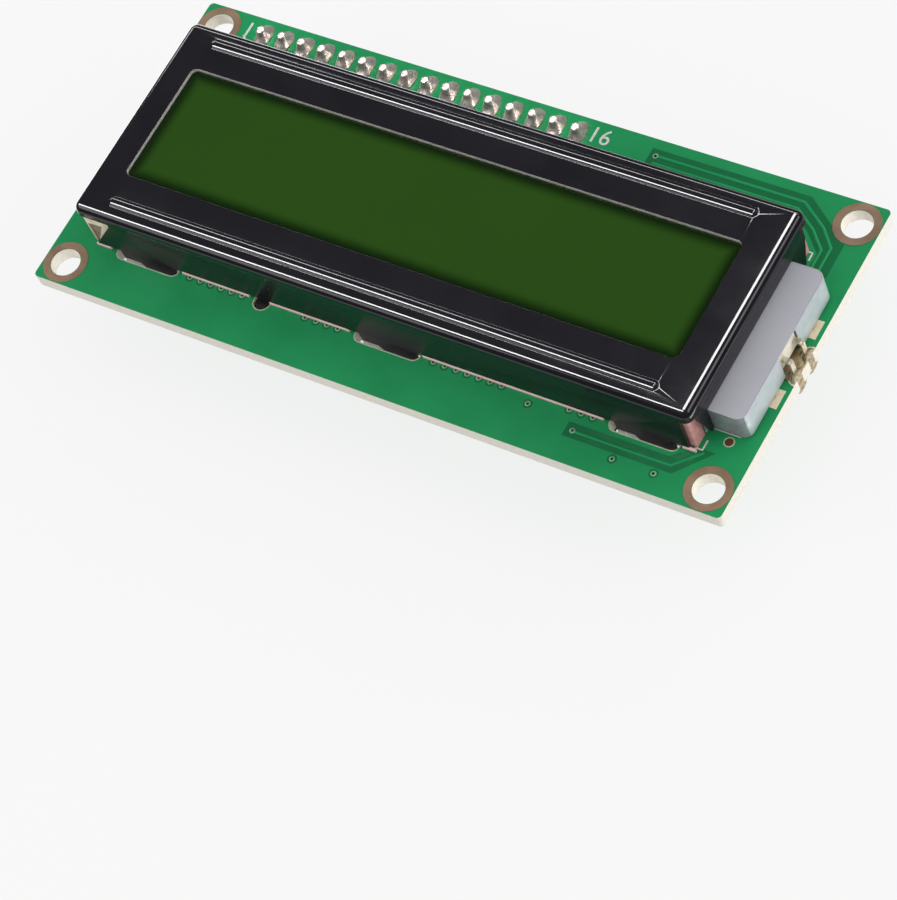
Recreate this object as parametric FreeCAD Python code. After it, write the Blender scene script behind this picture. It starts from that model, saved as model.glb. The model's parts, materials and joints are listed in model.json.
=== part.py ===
import FreeCAD, Part
import math
import os

# Two-row character display module with a serial adapter board soldered on its back.
# Millimetres. The origin is the centre of the four mounting holes on the front face of the main
# board; +X runs to the right and +Y up when the display is read, and +Z points at the reader.

V = FreeCAD.Vector
AXIS_X = V(1, 0, 0)
AXIS_Y = V(0, 1, 0)
AXIS_Z = V(0, 0, 1)

# Main board
BOARD_L = 80.0
BOARD_W = 36.0
BOARD_T = 1.6
BOARD_CORNER_R = 0.5
MOUNT_EDGE = 2.5
MOUNT_HOLE_R = 1.6
MOUNT_RING_R = 2.45
RING_SETBACK = 0.06
PLATING_T = 0.08
COPPER_T = 0.05
LOCATING_HOLE_R = 0.9
LOCATING_HOLE_DX = 25.1

# Folded bezel: one sheet, pressed and folded, held by six tongues
SHEET_T = 0.4
BEZEL_LEFT_INSET = 4.05
BEZEL_RIGHT_INSET = 4.75
BEZEL_FRONT_INSET = 5.5
BEZEL_REAR_INSET = 6.2
BEZEL_BEND_R = 0.9
BEZEL_FOOT_GAP = 0.55
WINDOW_LEFT_RIM = 3.45
WINDOW_RIGHT_RIM = 3.85
WINDOW_LONG_RIM = 5.3
WINDOW_R = 0.7
BEAD_W = 1.2
BEAD_H = 0.28
BEAD_INSET = 2.0
CORNER_LIP = 1.5
CORNER_SLIT = 0.9
CORNER_NOTCH = 3.6
CORNER_NOTCH_END = 0.4
CORNER_FLARE = 1.5
TONGUE_W = 6.4
TONGUE_EDGE = 11.0
TONGUE_NECK = 0.15
TONGUE_REACH = 1.9
TONGUE_TURN_DEG = 47.0
TONGUE_TURN_R = 1.4
TONGUE_TURNED_RUN = 2.0
SLOT_SPARE_L = 1.2
SLOT_OUTER_SPARE = 0.6
SLOT_INNER_SPARE = 0.45
SLOT_PAD_L = 7.0
SLOT_PAD_W = 2.85

# Display cell and backlight stack, from the board up
REFLECTOR_T = 0.15
GUIDE_T = 3.35
DIFFUSER_T = 0.15
FILM_T = 0.2
GLASS_T = 1.1
STACK_SIDE_CLEARANCE = 0.15
GLASS_END_CLEARANCE = 0.35
ZEBRA_W = 1.6
ZEBRA_LEFT_GAP = 3.4
GUIDE_LEFT_GAP = 1.45
GUIDE_REACH = 3.65
GUIDE_TONGUE_FRONT_GAP = 2.9
GUIDE_TONGUE_REAR_GAP = 4.1
GUIDE_TONGUE_LAP = 1.0
GUIDE_TONGUE_R = 1.0
GUIDE_CUTOUT_SPARE = 0.15
GUIDE_FILM_T = 0.08

# Edge light in its recess
LAMP_L = 3.0
LAMP_DEPTH = 1.5
LAMP_H = 2.3
LAMP_CY = -0.55
LAMP_CLEARANCE = 0.15
LAMP_LEAD_SPACING = 2.3
LAMP_LEAD_W = 0.6
LAMP_LEAD_T = 0.2
LAMP_LEAD_Z = 1.1
LAMP_LEAD_BEND_R = 0.35
LAMP_LEAD_EDGE = 0.35
EDGE_PAD_R = 1.15
EDGE_HOLE_R = 0.5
EDGE_SOLDER_R = 1.03
EDGE_SOLDER_FRONT_H = 0.7
EDGE_SOLDER_BACK_H = 0.5
EDGE_SOLDER_SECTION = [(1, 0), (0.75, 0.6), (0.35, 1)]
LAMP_PAD_SIDE = 2.1
LAMP_PAD_HOLE_R = 0.45
LAMP_PAD_EDGE = 1.5
LAMP_PAD_SPACING = 8.1

# Display header
PIN_COUNT = 16
PIN_PITCH = 2.54
PIN_SIDE = 0.64
PIN_HOLE_R = 0.53
PIN_ROW_END = 8.0
PIN_ROW_EDGE = 2.0
PIN_STUB = 1.3
SPACER_W = 2.4
BOARD_GAP = 2.5
FRONT_PAD_L = 3.0
FRONT_PAD_W = 1.9
FRONT_CONE_R = 0.7
FRONT_CONE_TOP_R = 0.5
FRONT_CONE_FOOT_H = 0.35
FRONT_CONE_H = 1.0
DOME_R = 0.95
DOME_H = 0.85
DOME_SECTION = [(1, 0), (0.8, 0.6), (0.4, 1)]
PIN_TIP_COVER = 0.2
PAD_CORNER_CUT = 0.57

# Adapter board
ADAPTER_L = 41.6
ADAPTER_W = 19.0
ADAPTER_T = 1.6
ADAPTER_END = 2.2
ADAPTER_EDGE = 1.25
TAIL_L = 1.0
TAIL_SOLDER_R = 0.85
TAIL_SOLDER_H = 0.75
SOLDER_SIDES = 8
COVERED_HOLE_SIDES = 6
ROUND_PAD_SIDES = 16
SLOT_END_SIDES = 12

# Port expander chip, placed from the adapter's left end and its upper edge
CHIP_DX = 22.3
CHIP_DY = 8.65
CHIP_W = 7.5
CHIP_L = 10.3
CHIP_H = 2.25
CHIP_STANDOFF = 0.1
CHIP_DRAFT = 0.22
CHIP_LEADS_PER_SIDE = 8
CHIP_PITCH = 1.27
CHIP_SPAN = 10.3
CHIP_LEAD_W = 0.42
CHIP_LEAD_T = 0.22
CHIP_FOOT_L = 0.85
CHIP_LEAD_BEND_R = 0.25
CHIP_PAD_L = 2.0
CHIP_PAD_W = 0.6
CHIP_DIMPLE_R = 0.5
CHIP_DIMPLE_INSET = 1.3
CHIP_DIMPLE_DEPTH = 0.12

# Trimmer
TRIMMER_DX = 11.1
TRIMMER_DY = 7.85
TRIMMER_L = 6.9
TRIMMER_W = 7.0
TRIMMER_H = 4.9
TRIMMER_CORNER_R = 0.3
TRIMMER_FOOT_H = 0.6
TRIMMER_FOOT_W = 0.85
ROTOR_R = 1.45
ROTOR_CLEARANCE = 0.05
ROTOR_H = 1.1
ROTOR_SUNK = 0.25
ROTOR_STEM_R = 0.8
ROTOR_STEM_L = 1.6
ROTOR_SLOT_W = 0.55
ROTOR_SLOT_DEPTH = 0.6
TRIMMER_LEAD_R = 0.3
LEAD_HOLE_SPARE = 0.1
TRIMMER_LEAD_PITCH = 2.2
TRIMMER_LEAD_DY = -2.3
INDEX_R = 0.45
INDEX_DEPTH = 0.15
INDEX_DX = 2.6
INDEX_DY = -0.6

# Right-angle headers
BLOCK_W = 2.5
BLOCK_H = 2.5
BLOCK_NOTCH = 0.45
PIN_BEND_R = 0.7
PIN_LINE_H = 3.25
BUS_PINS = 4
BUS_DX = 1.3
BUS_DY = 5.65
BUS_REACH = 7.5
JUMPER_PINS = 2
JUMPER_EDGE = 1.2
JUMPER_DY = 6.3
JUMPER_REACH = 8.6

# Jumper cap with its clip
CAP_GAP = 0.9
CAP_L = 5.6
CAP_W = 5.0
CAP_H = 2.5
CAP_EDGE_BEVEL = 0.15
CAP_NOTCH_R = 1.0
CAP_PIN_CLEARANCE = 0.06
CLIP_T = 0.2
CLIP_END_GAP = 0.5
CLIP_CLEARANCE = 0.03

# Power light, transistor, capacitor and resistors on the adapter board
CHIP_PART_L = 2.0
CHIP_PART_W = 1.25
CHIP_PART_END = 0.4
RESISTOR_H = 0.5
CAPACITOR_H = 0.85
LIGHT_H = 0.75
LIGHT_LENS_R = 0.5
LIGHT_LENS_TOP_R = 0.3
LIGHT_LENS_H = 0.25
PAD_SPARE = 0.65
PAD_SPARE_W = 0.1
SOT_L = 2.9
SOT_W = 1.3
SOT_H = 1.0
SOT_SPAN = 2.5
SOT_PITCH = 1.9
SOT_LEAD_W = 0.42
SOT_LEAD_T = 0.13
SOT_LEAD_BEND_R = 0.15
SOT_FOOT_L = 0.12
SOT_STANDOFF = 0.05
SOT_DRAFT = 0.1
SOT_PAD_L = 1.2
SOT_PAD_SPARE = 0.2
ADDRESS_PAD_L = 1.2
ADDRESS_PAD_W = 1.1

# Domed covers over the bare chips on the back of the main board: x from the nearer short edge,
# y from the middle
CONTROLLER_COVER_DX = 26.3
CONTROLLER_COVER_Y = 0.5
CONTROLLER_COVER_R = 5.5
DRIVER_COVER_DX = 27.4
DRIVER_COVER_Y = -0.75
DRIVER_COVER_R = 6.3
COVER_H = 1.8
COVER_SECTION = [(1, 0), (0.92, 0.34), (0.6, 0.84), (0.2, 1)]
COVER_SIDES = 24

# Small parts of the adapter board: how far from its left end and its upper edge, and which way
# the part lies
ADAPTER_RESISTORS = [
    (32.8, 5.95, "y"),
    (34.9, 11.45, "y"),
    (32.5, 11.35, "y"),
    (29.9, 11.45, "y"),
    (30.65, 16.35, "x"),
    (25.3, 16.35, "x"),
    (19.9, 16.45, "x"),
]
ADAPTER_CAPACITOR = (30.1, 5.85, "y")
ADAPTER_LIGHT = (37.45, 11.65, "y")
TRANSISTOR_DX = 36.55
TRANSISTOR_DY = 7.0
ADDRESS_COLUMNS = [13.3, 11.2, 9.1]
ADDRESS_ROWS = [14.15, 16.05]

# Small parts and bare pads on the back of the main board: x from the nearer short edge, y from
# the nearer long edge
LEFT_RESISTORS = [
    (17.25, 14.0),
    (9.65, 15.9),
    (9.65, 13.75),
    (9.65, 11.55),
]
RIGHT_RESISTOR = (19.5, 5.5)
LEFT_EMPTY_PART = (17.35, 11.55)
RIGHT_EMPTY_PARTS = [
    (9.85, 15.15),
    (9.8, 11.7),
]
TEST_PAD_R = 1.0
TEST_PADS = [
    (10.4, 12.4),
    (12.9, 12.6),
]
SUPPLY_PAD_EDGE = 3.9
SUPPLY_PAD_DY = 1.3
SMALL_TEST_PAD_R = 0.6
SMALL_TEST_PAD = (3.9, 7.8)
EMPTY_CHIP_EDGE = 10.7
EMPTY_CHIP_Y = 1.6
EMPTY_CHIP_SPAN = 7.6
EMPTY_CHIP_PAD_L = 1.9
EMPTY_CHIP_PAD_W = 0.6
EMPTY_CHIP_ROWS = 4

# Levels worked out from the stack and the two boards
BACK_Z = -BOARD_T
STACK_Z = COPPER_T
GUIDE_Z = STACK_Z + REFLECTOR_T
DIFFUSER_Z = GUIDE_Z + GUIDE_T
REAR_FILM_Z = DIFFUSER_Z + DIFFUSER_T
REAR_GLASS_Z = REAR_FILM_Z + FILM_T
FRONT_GLASS_Z = REAR_GLASS_Z + GLASS_T
FRONT_FILM_Z = FRONT_GLASS_Z + GLASS_T
SHEET_Z = FRONT_FILM_Z + FILM_T
BEZEL_TOP = SHEET_Z + SHEET_T
ADAPTER_IN_Z = BACK_Z - BOARD_GAP
ADAPTER_OUT_Z = ADAPTER_IN_Z - ADAPTER_T
PART_SEAT_Z = ADAPTER_OUT_Z - COPPER_T
PIN_LINE_Z = ADAPTER_OUT_Z - PIN_LINE_H

# Edges of the main board and walls of the bezel
LEFT_X = -BOARD_L / 2
RIGHT_X = BOARD_L / 2
FRONT_Y = -BOARD_W / 2
REAR_Y = BOARD_W / 2
BEZEL_X0 = LEFT_X + BEZEL_LEFT_INSET
BEZEL_X1 = RIGHT_X - BEZEL_RIGHT_INSET
BEZEL_Y0 = FRONT_Y + BEZEL_FRONT_INSET
BEZEL_Y1 = REAR_Y - BEZEL_REAR_INSET
INNER_X0 = BEZEL_X0 + SHEET_T
INNER_X1 = BEZEL_X1 - SHEET_T
INNER_Y0 = BEZEL_Y0 + SHEET_T
INNER_Y1 = BEZEL_Y1 - SHEET_T
WINDOW_X0 = BEZEL_X0 + WINDOW_LEFT_RIM
WINDOW_X1 = BEZEL_X1 - WINDOW_RIGHT_RIM
WINDOW_Y0 = BEZEL_Y0 + WINDOW_LONG_RIM
WINDOW_Y1 = BEZEL_Y1 - WINDOW_LONG_RIM
GUIDE_X1 = INNER_X1 - GLASS_END_CLEARANCE
GUIDE_END_X = BEZEL_X1 + GUIDE_REACH
GUIDE_TONGUE_Y0 = BEZEL_Y0 + GUIDE_TONGUE_FRONT_GAP
GUIDE_TONGUE_Y1 = BEZEL_Y1 - GUIDE_TONGUE_REAR_GAP
TONGUE_XS = [LEFT_X + TONGUE_EDGE, 0.0, RIGHT_X - TONGUE_EDGE]
FRONT_TONGUE_Y = BEZEL_Y0 + SHEET_T / 2
REAR_TONGUE_Y = BEZEL_Y1 - SHEET_T / 2
LOCATING_HOLE_X = LEFT_X + LOCATING_HOLE_DX

# Places on the main board and on the adapter board
PIN_FIRST_X = LEFT_X + PIN_ROW_END
PIN_ROW_Y = REAR_Y - PIN_ROW_EDGE
PIN_XS = [PIN_FIRST_X + PIN_PITCH * i for i in range(PIN_COUNT)]
ADAPTER_X0 = PIN_FIRST_X - ADAPTER_END
ADAPTER_X1 = ADAPTER_X0 + ADAPTER_L
ADAPTER_TOP_Y = PIN_ROW_Y + ADAPTER_EDGE
CHIP_CX = ADAPTER_X0 + CHIP_DX
CHIP_CY = ADAPTER_TOP_Y - CHIP_DY
TRIMMER_CX = ADAPTER_X0 + TRIMMER_DX
TRIMMER_CY = ADAPTER_TOP_Y - TRIMMER_DY
TRANSISTOR_X = ADAPTER_X0 + TRANSISTOR_DX
TRANSISTOR_Y = ADAPTER_TOP_Y - TRANSISTOR_DY
BUS_X = ADAPTER_X0 + BUS_DX
BUS_YS = [ADAPTER_TOP_Y - BUS_DY - PIN_PITCH * i for i in range(BUS_PINS)]
JUMPER_X = ADAPTER_X1 - JUMPER_EDGE
JUMPER_YS = [ADAPTER_TOP_Y - JUMPER_DY - PIN_PITCH * i for i in range(JUMPER_PINS)]
CAP_X0 = ADAPTER_X1 + CAP_GAP
LAMP_LEAD_YS = [LAMP_CY - LAMP_LEAD_SPACING / 2, LAMP_CY + LAMP_LEAD_SPACING / 2]
LAMP_PAD_X = RIGHT_X - LAMP_PAD_EDGE
LAMP_PAD_YS = [LAMP_CY - LAMP_PAD_SPACING / 2, LAMP_CY + LAMP_PAD_SPACING / 2]
LAMP_X1 = GUIDE_END_X - LAMP_CLEARANCE
EMPTY_CHIP_X = RIGHT_X - EMPTY_CHIP_EDGE
TRIMMER_LEADS = [(TRIMMER_CX + step * TRIMMER_LEAD_PITCH, TRIMMER_CY + TRIMMER_LEAD_DY)
                 for step in (-1, 0, 1)]


def box(x0, x1, y0, y1, z0, z1):
    """Box between two corners, whichever way round they are given."""
    low = V(min(x0, x1), min(y0, y1), min(z0, z1))
    return Part.makeBox(abs(x1 - x0), abs(y1 - y0), abs(z1 - z0), low)


def centred_box(cx, cy, length, width, z0, z1):
    return box(cx - length / 2, cx + length / 2, cy - width / 2, cy + width / 2, z0, z1)


def rod(x, y, radius, z0, z1):
    return Part.makeCylinder(radius, abs(z1 - z0), V(x, y, min(z0, z1)))


def rounded_block(cx, cy, length, width, radius, z0, z1):
    """Block with rounded upright edges."""
    block = centred_box(cx, cy, length, width, z0, z1)
    upright = [e for e in block.Edges if abs(e.tangentAt(e.FirstParameter).z) > 0.9]
    return block.makeFillet(radius, upright)


def oblong(cx, cy, length, width, z0, z1):
    """Slot shape, longer along X, with ends of a few flats in a half circle."""
    reach = length / 2 - width / 2
    corners = []
    for side, start in ((1, -90), (-1, 90)):
        for step in range(SLOT_END_SIDES // 2 + 1):
            angle = math.radians(start + 360 * step / SLOT_END_SIDES)
            corners.append(V(cx + side * reach + width / 2 * math.cos(angle),
                             cy + width / 2 * math.sin(angle), min(z0, z1)))
    return polygon_face(corners).extrude(V(0, 0, abs(z1 - z0)))


def oblong_points(cx, cy, length, width, z):
    """Eight corners of a long pad with its corners cut off, in the order of ring_points."""
    x = length / 2
    y = width / 2
    cut = PAD_CORNER_CUT
    corners = [(x, y - cut), (x - cut, y), (cut - x, y), (-x, y - cut),
               (-x, cut - y), (cut - x, -y), (x - cut, -y), (x, cut - y)]
    return [V(cx + px, cy + py, z) for px, py in corners]


def ring_points(x, y, radius, z, sides):
    """Corners of a regular polygon, with a flat side towards +X."""
    points = []
    for index in range(sides):
        angle = 2 * math.pi * (index + 0.5) / sides
        points.append(V(x + radius * math.cos(angle), y + radius * math.sin(angle), z))
    return points


def polygon_face(points):
    return Part.Face(Part.makePolygon(points + points[:1]))


def drilled(x, y, radius, z0, z1, sides=COVERED_HOLE_SIDES):
    """Few-sided rod, or the tool for a hole that solder fills, because both its ends are covered."""
    return polygon_face(ring_points(x, y, radius, min(z0, z1), sides)).extrude(V(0, 0, abs(z1 - z0)))


def solid_through(rings):
    """Closed solid with flat faces through rings of points, from the first to the last."""
    faces = [polygon_face(rings[0]), polygon_face(rings[-1])]
    for low, high in zip(rings, rings[1:]):
        for index in range(len(low)):
            after = (index + 1) % len(low)
            faces.append(polygon_face([low[index], low[after], high[after]]))
            faces.append(polygon_face([low[index], high[after], high[index]]))
    solid = Part.Solid(Part.Shell(faces)).removeSplitter()
    if solid.Volume < 0:
        solid.reverse()
    return solid


def solder_mound(x, y, steps):
    """Few-sided mound of solder through rings given as (radius, height)."""
    return solid_through([ring_points(x, y, r, z, SOLDER_SIDES) for r, z in steps])


def strip_face(runs, turns, radius, thickness, pressed=False):
    """Flat outline of a bent strip that starts at the origin along +X.

    runs are the straight lengths, turns the angles in degrees between them (anticlockwise is
    positive), radius is that of the middle line at each turn. A pressed strip is too small to
    show its arcs, so each turn is a plain bevel there."""
    half = thickness / 2
    spot = V(0, 0, 0)
    heading = 0.0
    left = []
    right = []
    for index, run in enumerate(runs):
        ahead = V(math.cos(heading), math.sin(heading), 0)
        side = V(-math.sin(heading), math.cos(heading), 0)
        after = spot + ahead * run
        left.append(Part.LineSegment(spot + side * half, after + side * half).toShape())
        right.append(Part.LineSegment(spot - side * half, after - side * half).toShape())
        spot = after
        if index < len(turns):
            turn = math.radians(turns[index])
            sign = 1 if turn > 0 else -1
            centre = spot + side * (sign * radius)
            normals = []
            for share in (0, 0.5, 1):
                angle = heading + turn * share
                normals.append(V(-math.sin(angle), math.cos(angle), 0))
            outer = [centre + n * (half - sign * radius) for n in normals]
            inner = [centre + n * (-half - sign * radius) for n in normals]
            if pressed:
                left.append(Part.LineSegment(outer[0], outer[2]).toShape())
                right.append(Part.LineSegment(inner[0], inner[2]).toShape())
            else:
                left.append(Part.Arc(*outer).toShape())
                right.append(Part.Arc(*inner).toShape())
            spot = centre - normals[2] * (sign * radius)
            heading += turn
    side = V(-math.sin(heading), math.cos(heading), 0)
    cap_end = Part.LineSegment(spot + side * half, spot - side * half).toShape()
    cap_start = Part.LineSegment(V(0, -half, 0), V(0, half, 0)).toShape()
    edges = left + [cap_end] + right[::-1] + [cap_start]
    return Part.Face(Part.Wire(Part.__sortEdges__(edges)))


def bent_strip(runs, turns, radius, thickness, width, frame, pressed=False):
    """Strip of the outline above, width wide, set in a frame given as (origin, x axis, y axis)."""
    face = strip_face(runs, turns, radius, thickness, pressed)
    solid = face.extrude(V(0, 0, width))
    solid.translate(V(0, 0, -width / 2))
    origin, along, up = frame
    normal = along.cross(up)
    matrix = FreeCAD.Matrix(
        along.x, up.x, normal.x, origin.x,
        along.y, up.y, normal.y, origin.y,
        along.z, up.z, normal.z, origin.z,
        0, 0, 0, 1)
    return solid.transformGeometry(matrix)


def plated_hole(x, y, hole_r, flange, tool):
    """Lining of a board hole with its flange on both faces; flange and tool give their outlines."""
    lining = tool(x, y, hole_r + PLATING_T, BACK_Z, 0)
    shape = flange(0, COPPER_T).fuse([lining, flange(BACK_Z - COPPER_T, BACK_Z)])
    return shape.cut(tool(x, y, hole_r, BACK_Z - 1, 1)).removeSplitter()


def group(solids):
    return Part.Compound([s for shape in solids for s in shape.Solids])


def save(name, shape):
    for solid in shape.Solids:
        if not solid.isValid() or solid.Volume <= 0:
            raise ValueError(name + " holds a faulty solid")
    shape.exportStep("parts/" + name + ".step")
    print(name, len(shape.Solids), round(shape.Volume, 3))


# Main board and what is plated on it

def mount_centres():
    return [(x, y) for x in (LEFT_X + MOUNT_EDGE, RIGHT_X - MOUNT_EDGE)
            for y in (FRONT_Y + MOUNT_EDGE, REAR_Y - MOUNT_EDGE)]


def tongue_slots():
    """Centre y and width of the slots in front of and behind the bezel's long walls."""
    width = SLOT_OUTER_SPARE + SHEET_T + SLOT_INNER_SPARE
    front = BEZEL_Y0 - SLOT_OUTER_SPARE + width / 2
    rear = BEZEL_Y1 + SLOT_OUTER_SPARE - width / 2
    return front, rear, width


def main_board():
    """Glass-fibre board with every hole, slot and half-round edge notch in it."""
    board = rounded_block(0, 0, BOARD_L, BOARD_W, BOARD_CORNER_R, BACK_Z, 0)
    below = BACK_Z - 1
    cuts = [rod(x, y, MOUNT_HOLE_R, below, 1) for x, y in mount_centres()]
    front, rear, width = tongue_slots()
    for x in TONGUE_XS:
        for y in (front, rear):
            cuts.append(oblong(x, y, TONGUE_W + SLOT_SPARE_L, width, below, 1))
    cuts += [drilled(x, PIN_ROW_Y, PIN_HOLE_R, below, 1) for x in PIN_XS]
    cuts += [drilled(LAMP_PAD_X, y, LAMP_PAD_HOLE_R + PLATING_T, below, 1) for y in LAMP_PAD_YS]
    cuts += [drilled(RIGHT_X, y, EDGE_HOLE_R + PLATING_T, below, 1, SOLDER_SIDES) for y in LAMP_LEAD_YS]
    cuts.append(rod(LOCATING_HOLE_X, BEZEL_Y0, LOCATING_HOLE_R, below, 1))
    return board.cut(cuts)


def mounting_rings():
    """Bare copper ring around each end of the four mounting holes."""
    rings = []
    for x, y in mount_centres():
        for z0, z1 in ((0, COPPER_T), (BACK_Z - COPPER_T, BACK_Z)):
            ring = drilled(x, y, MOUNT_RING_R, z0, z1, ROUND_PAD_SIDES)
            rings.append(ring.cut(drilled(x, y, MOUNT_HOLE_R + RING_SETBACK, z0, z1, ROUND_PAD_SIDES)))
    return group(rings)


def tongue_pads():
    """Bare copper beside each tongue slot, on the back face."""
    front, rear, width = tongue_slots()
    pads = []
    for x in TONGUE_XS:
        inner = front + width / 2
        pads.append(box(x - SLOT_PAD_L / 2, x + SLOT_PAD_L / 2, inner, inner + SLOT_PAD_W,
                        BACK_Z - COPPER_T, BACK_Z))
        inner = rear - width / 2
        pads.append(box(x - SLOT_PAD_L / 2, x + SLOT_PAD_L / 2, inner - SLOT_PAD_W, inner,
                        BACK_Z - COPPER_T, BACK_Z))
    return group(pads)


def lamp_pads():
    """Two square gilt pads with a lined hole, for a lamp supply."""
    pads = []
    for y in LAMP_PAD_YS:
        pads.append(plated_hole(LAMP_PAD_X, y, LAMP_PAD_HOLE_R, lambda z0, z1: centred_box(
            LAMP_PAD_X, y, LAMP_PAD_SIDE, LAMP_PAD_SIDE, z0, z1), drilled))
    return group(pads)


def edge_pads():
    """Half-round pads at the board's right edge, lined through the half hole."""
    pads = []
    for y in LAMP_LEAD_YS:
        ring = plated_hole(RIGHT_X, y, EDGE_HOLE_R, lambda z0, z1: drilled(
            RIGHT_X, y, EDGE_PAD_R, z0, z1, ROUND_PAD_SIDES), eight_sided)
        pads.append(ring.cut(beyond_right_edge()))
    return group(pads)


def eight_sided(x, y, radius, z0, z1):
    return drilled(x, y, radius, z0, z1, SOLDER_SIDES)


def beyond_right_edge():
    """All that a round pad or mound on the right edge would have past the board."""
    return box(RIGHT_X, RIGHT_X + 2 * EDGE_PAD_R, FRONT_Y, REAR_Y, BACK_Z - BOARD_T, BOARD_T)


def empty_pads():
    """Bare copper pads of places that hold no part, all on the back face."""
    low = BACK_Z - COPPER_T
    dx, dy = SMALL_TEST_PAD
    pads = [drilled(RIGHT_X - dx, FRONT_Y + dy, SMALL_TEST_PAD_R, low, BACK_Z, ROUND_PAD_SIDES)]
    places = [(RIGHT_X - dx, REAR_Y - dy) for dx, dy in TEST_PADS]
    places += [(RIGHT_X - SUPPLY_PAD_EDGE, LAMP_CY + side * SUPPLY_PAD_DY) for side in (-1, 1)]
    pads += [drilled(x, y, TEST_PAD_R, low, BACK_Z, ROUND_PAD_SIDES) for x, y in places]
    dx, dy = LEFT_EMPTY_PART
    pads += end_pads(LEFT_X + dx, FRONT_Y + dy, "x", BACK_Z)
    for dx, dy in RIGHT_EMPTY_PARTS:
        pads += end_pads(RIGHT_X - dx, FRONT_Y + dy, "x", BACK_Z)
    for side in (-1, 1):
        for row in range(EMPTY_CHIP_ROWS):
            x = EMPTY_CHIP_X + side * (EMPTY_CHIP_SPAN - EMPTY_CHIP_PAD_L) / 2
            y = EMPTY_CHIP_Y + (row - (EMPTY_CHIP_ROWS - 1) / 2) * CHIP_PITCH
            pads.append(centred_box(x, y, EMPTY_CHIP_PAD_L, EMPTY_CHIP_PAD_W, low, BACK_Z))
    return group(pads)


def board_resistors():
    """Places of the resistors on the back of the main board."""
    places = [(LEFT_X + dx, FRONT_Y + dy, "x") for dx, dy in LEFT_RESISTORS]
    dx, dy = RIGHT_RESISTOR
    return places + [(RIGHT_X - dx, REAR_Y - dy, "x")]


def on_adapter(place):
    """Place and direction of a small part, from the adapter's left end and upper edge."""
    dx, dy, way = place
    return ADAPTER_X0 + dx, ADAPTER_TOP_Y - dy, way


# Bezel

def bezel_shell():
    """Tray with rounded bends, one sheet thick all over, open towards the board."""
    foot = BEZEL_FOOT_GAP
    outer = box(BEZEL_X0, BEZEL_X1, BEZEL_Y0, BEZEL_Y1, foot, BEZEL_TOP)
    inner = box(INNER_X0, INNER_X1, INNER_Y0, INNER_Y1, foot - 1, SHEET_Z)

    corners = [e for e in outer.Edges if abs(e.tangentAt(e.FirstParameter).z) > 0.9]
    outer = outer.makeFillet(BEZEL_BEND_R, corners + edges_at(outer, BEZEL_TOP))
    inner = inner.makeFillet(BEZEL_BEND_R - SHEET_T, edges_at(inner, SHEET_Z))
    return outer.cut(inner)


def edges_at(block, level):
    return [e for e in block.Edges if abs(e.BoundBox.ZMin - level) + abs(e.BoundBox.ZMax - level) < 1e-5]


def wall_cutter(points, along_y):
    """Prism through the short or the long walls from points (place along the wall, height)."""
    if along_y:
        corners = [V(BEZEL_X0 - 1, p, z) for p, z in points]
        throw = V(BEZEL_X1 - BEZEL_X0 + 2, 0, 0)
    else:
        corners = [V(p, BEZEL_Y0 - 1, z) for p, z in points]
        throw = V(0, BEZEL_Y1 - BEZEL_Y0 + 2, 0)
    return Part.Face(Part.makePolygon(corners + corners[:1])).extrude(throw)


def corner_openings():
    """The folded walls stop short of each corner, and one end of the front wall is cut back."""
    under = -1.0
    lip = BEZEL_TOP - CORNER_LIP
    out = 1.0
    cuts = []
    reach = SHEET_T + BEZEL_BEND_R
    for x, sign in ((BEZEL_X0, 1), (BEZEL_X1, -1)):
        for y, part in ((BEZEL_Y0, -1), (BEZEL_Y1, 1)):
            slit = wall_cutter([(x - sign * out, under), (x + sign * CORNER_SLIT, under),
                                (x + sign * CORNER_SLIT, lip), (x - sign * out, lip)], False)
            near = box(BEZEL_X0 - 2, BEZEL_X1 + 2, y - part * reach, y + part * out, under, lip)
            cuts.append(slit.common(near))
    notch = wall_cutter([(BEZEL_X0 - out, BEZEL_FOOT_GAP), (BEZEL_X0 + CORNER_SLIT, BEZEL_FOOT_GAP),
                         (BEZEL_X0 + SHEET_T + CORNER_NOTCH, lip - CORNER_NOTCH_END),
                         (BEZEL_X0 + SHEET_T + CORNER_NOTCH, lip), (BEZEL_X0 - out, lip)], False)
    front = box(BEZEL_X0 + SHEET_T, BEZEL_X1, BEZEL_Y0 - out, BEZEL_Y0 + reach, under, lip)
    cuts.append(notch.common(front))
    right = box(BEZEL_X1 - reach, BEZEL_X1 + out, BEZEL_Y0 - out, BEZEL_Y1 + out, under, lip)
    for y, sign in ((BEZEL_Y0, 1), (BEZEL_Y1, -1)):
        foot_y = y + sign * (CORNER_SLIT + CORNER_FLARE)
        chamfer = wall_cutter([(y - sign * out, under), (foot_y, under), (foot_y, BEZEL_FOOT_GAP),
                               (y + sign * CORNER_SLIT, lip), (y - sign * out, lip)], True)
        cuts.append(chamfer.common(right))
    return cuts


def bead(y, grow):
    """Long pressed bead with tapered ends, or with grow -SHEET_T the tool for its hollow underside."""
    ball_r = (BEAD_W * BEAD_W / 4 + BEAD_H * BEAD_H) / (2 * BEAD_H)
    axis_z = BEZEL_TOP + BEAD_H - ball_r
    start = WINDOW_X0 + BEAD_W / 2
    finish = WINDOW_X1 - BEAD_W / 2
    bar = Part.makeCylinder(ball_r + grow, finish - start, V(start, y, axis_z), AXIS_X)
    slab = box(BEZEL_X0, BEZEL_X1, BEZEL_Y0, BEZEL_Y1, SHEET_Z, BEZEL_TOP + 2)
    if grow < 0:
        return bar.common(slab)
    ends = [Part.makeCone(ball_r, ball_r / 2, BEAD_W / 2, V(x, y, axis_z), V(side, 0, 0))
            for x, side in ((start, -1), (finish, 1))]
    return bar.fuse(ends).common(slab)


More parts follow.
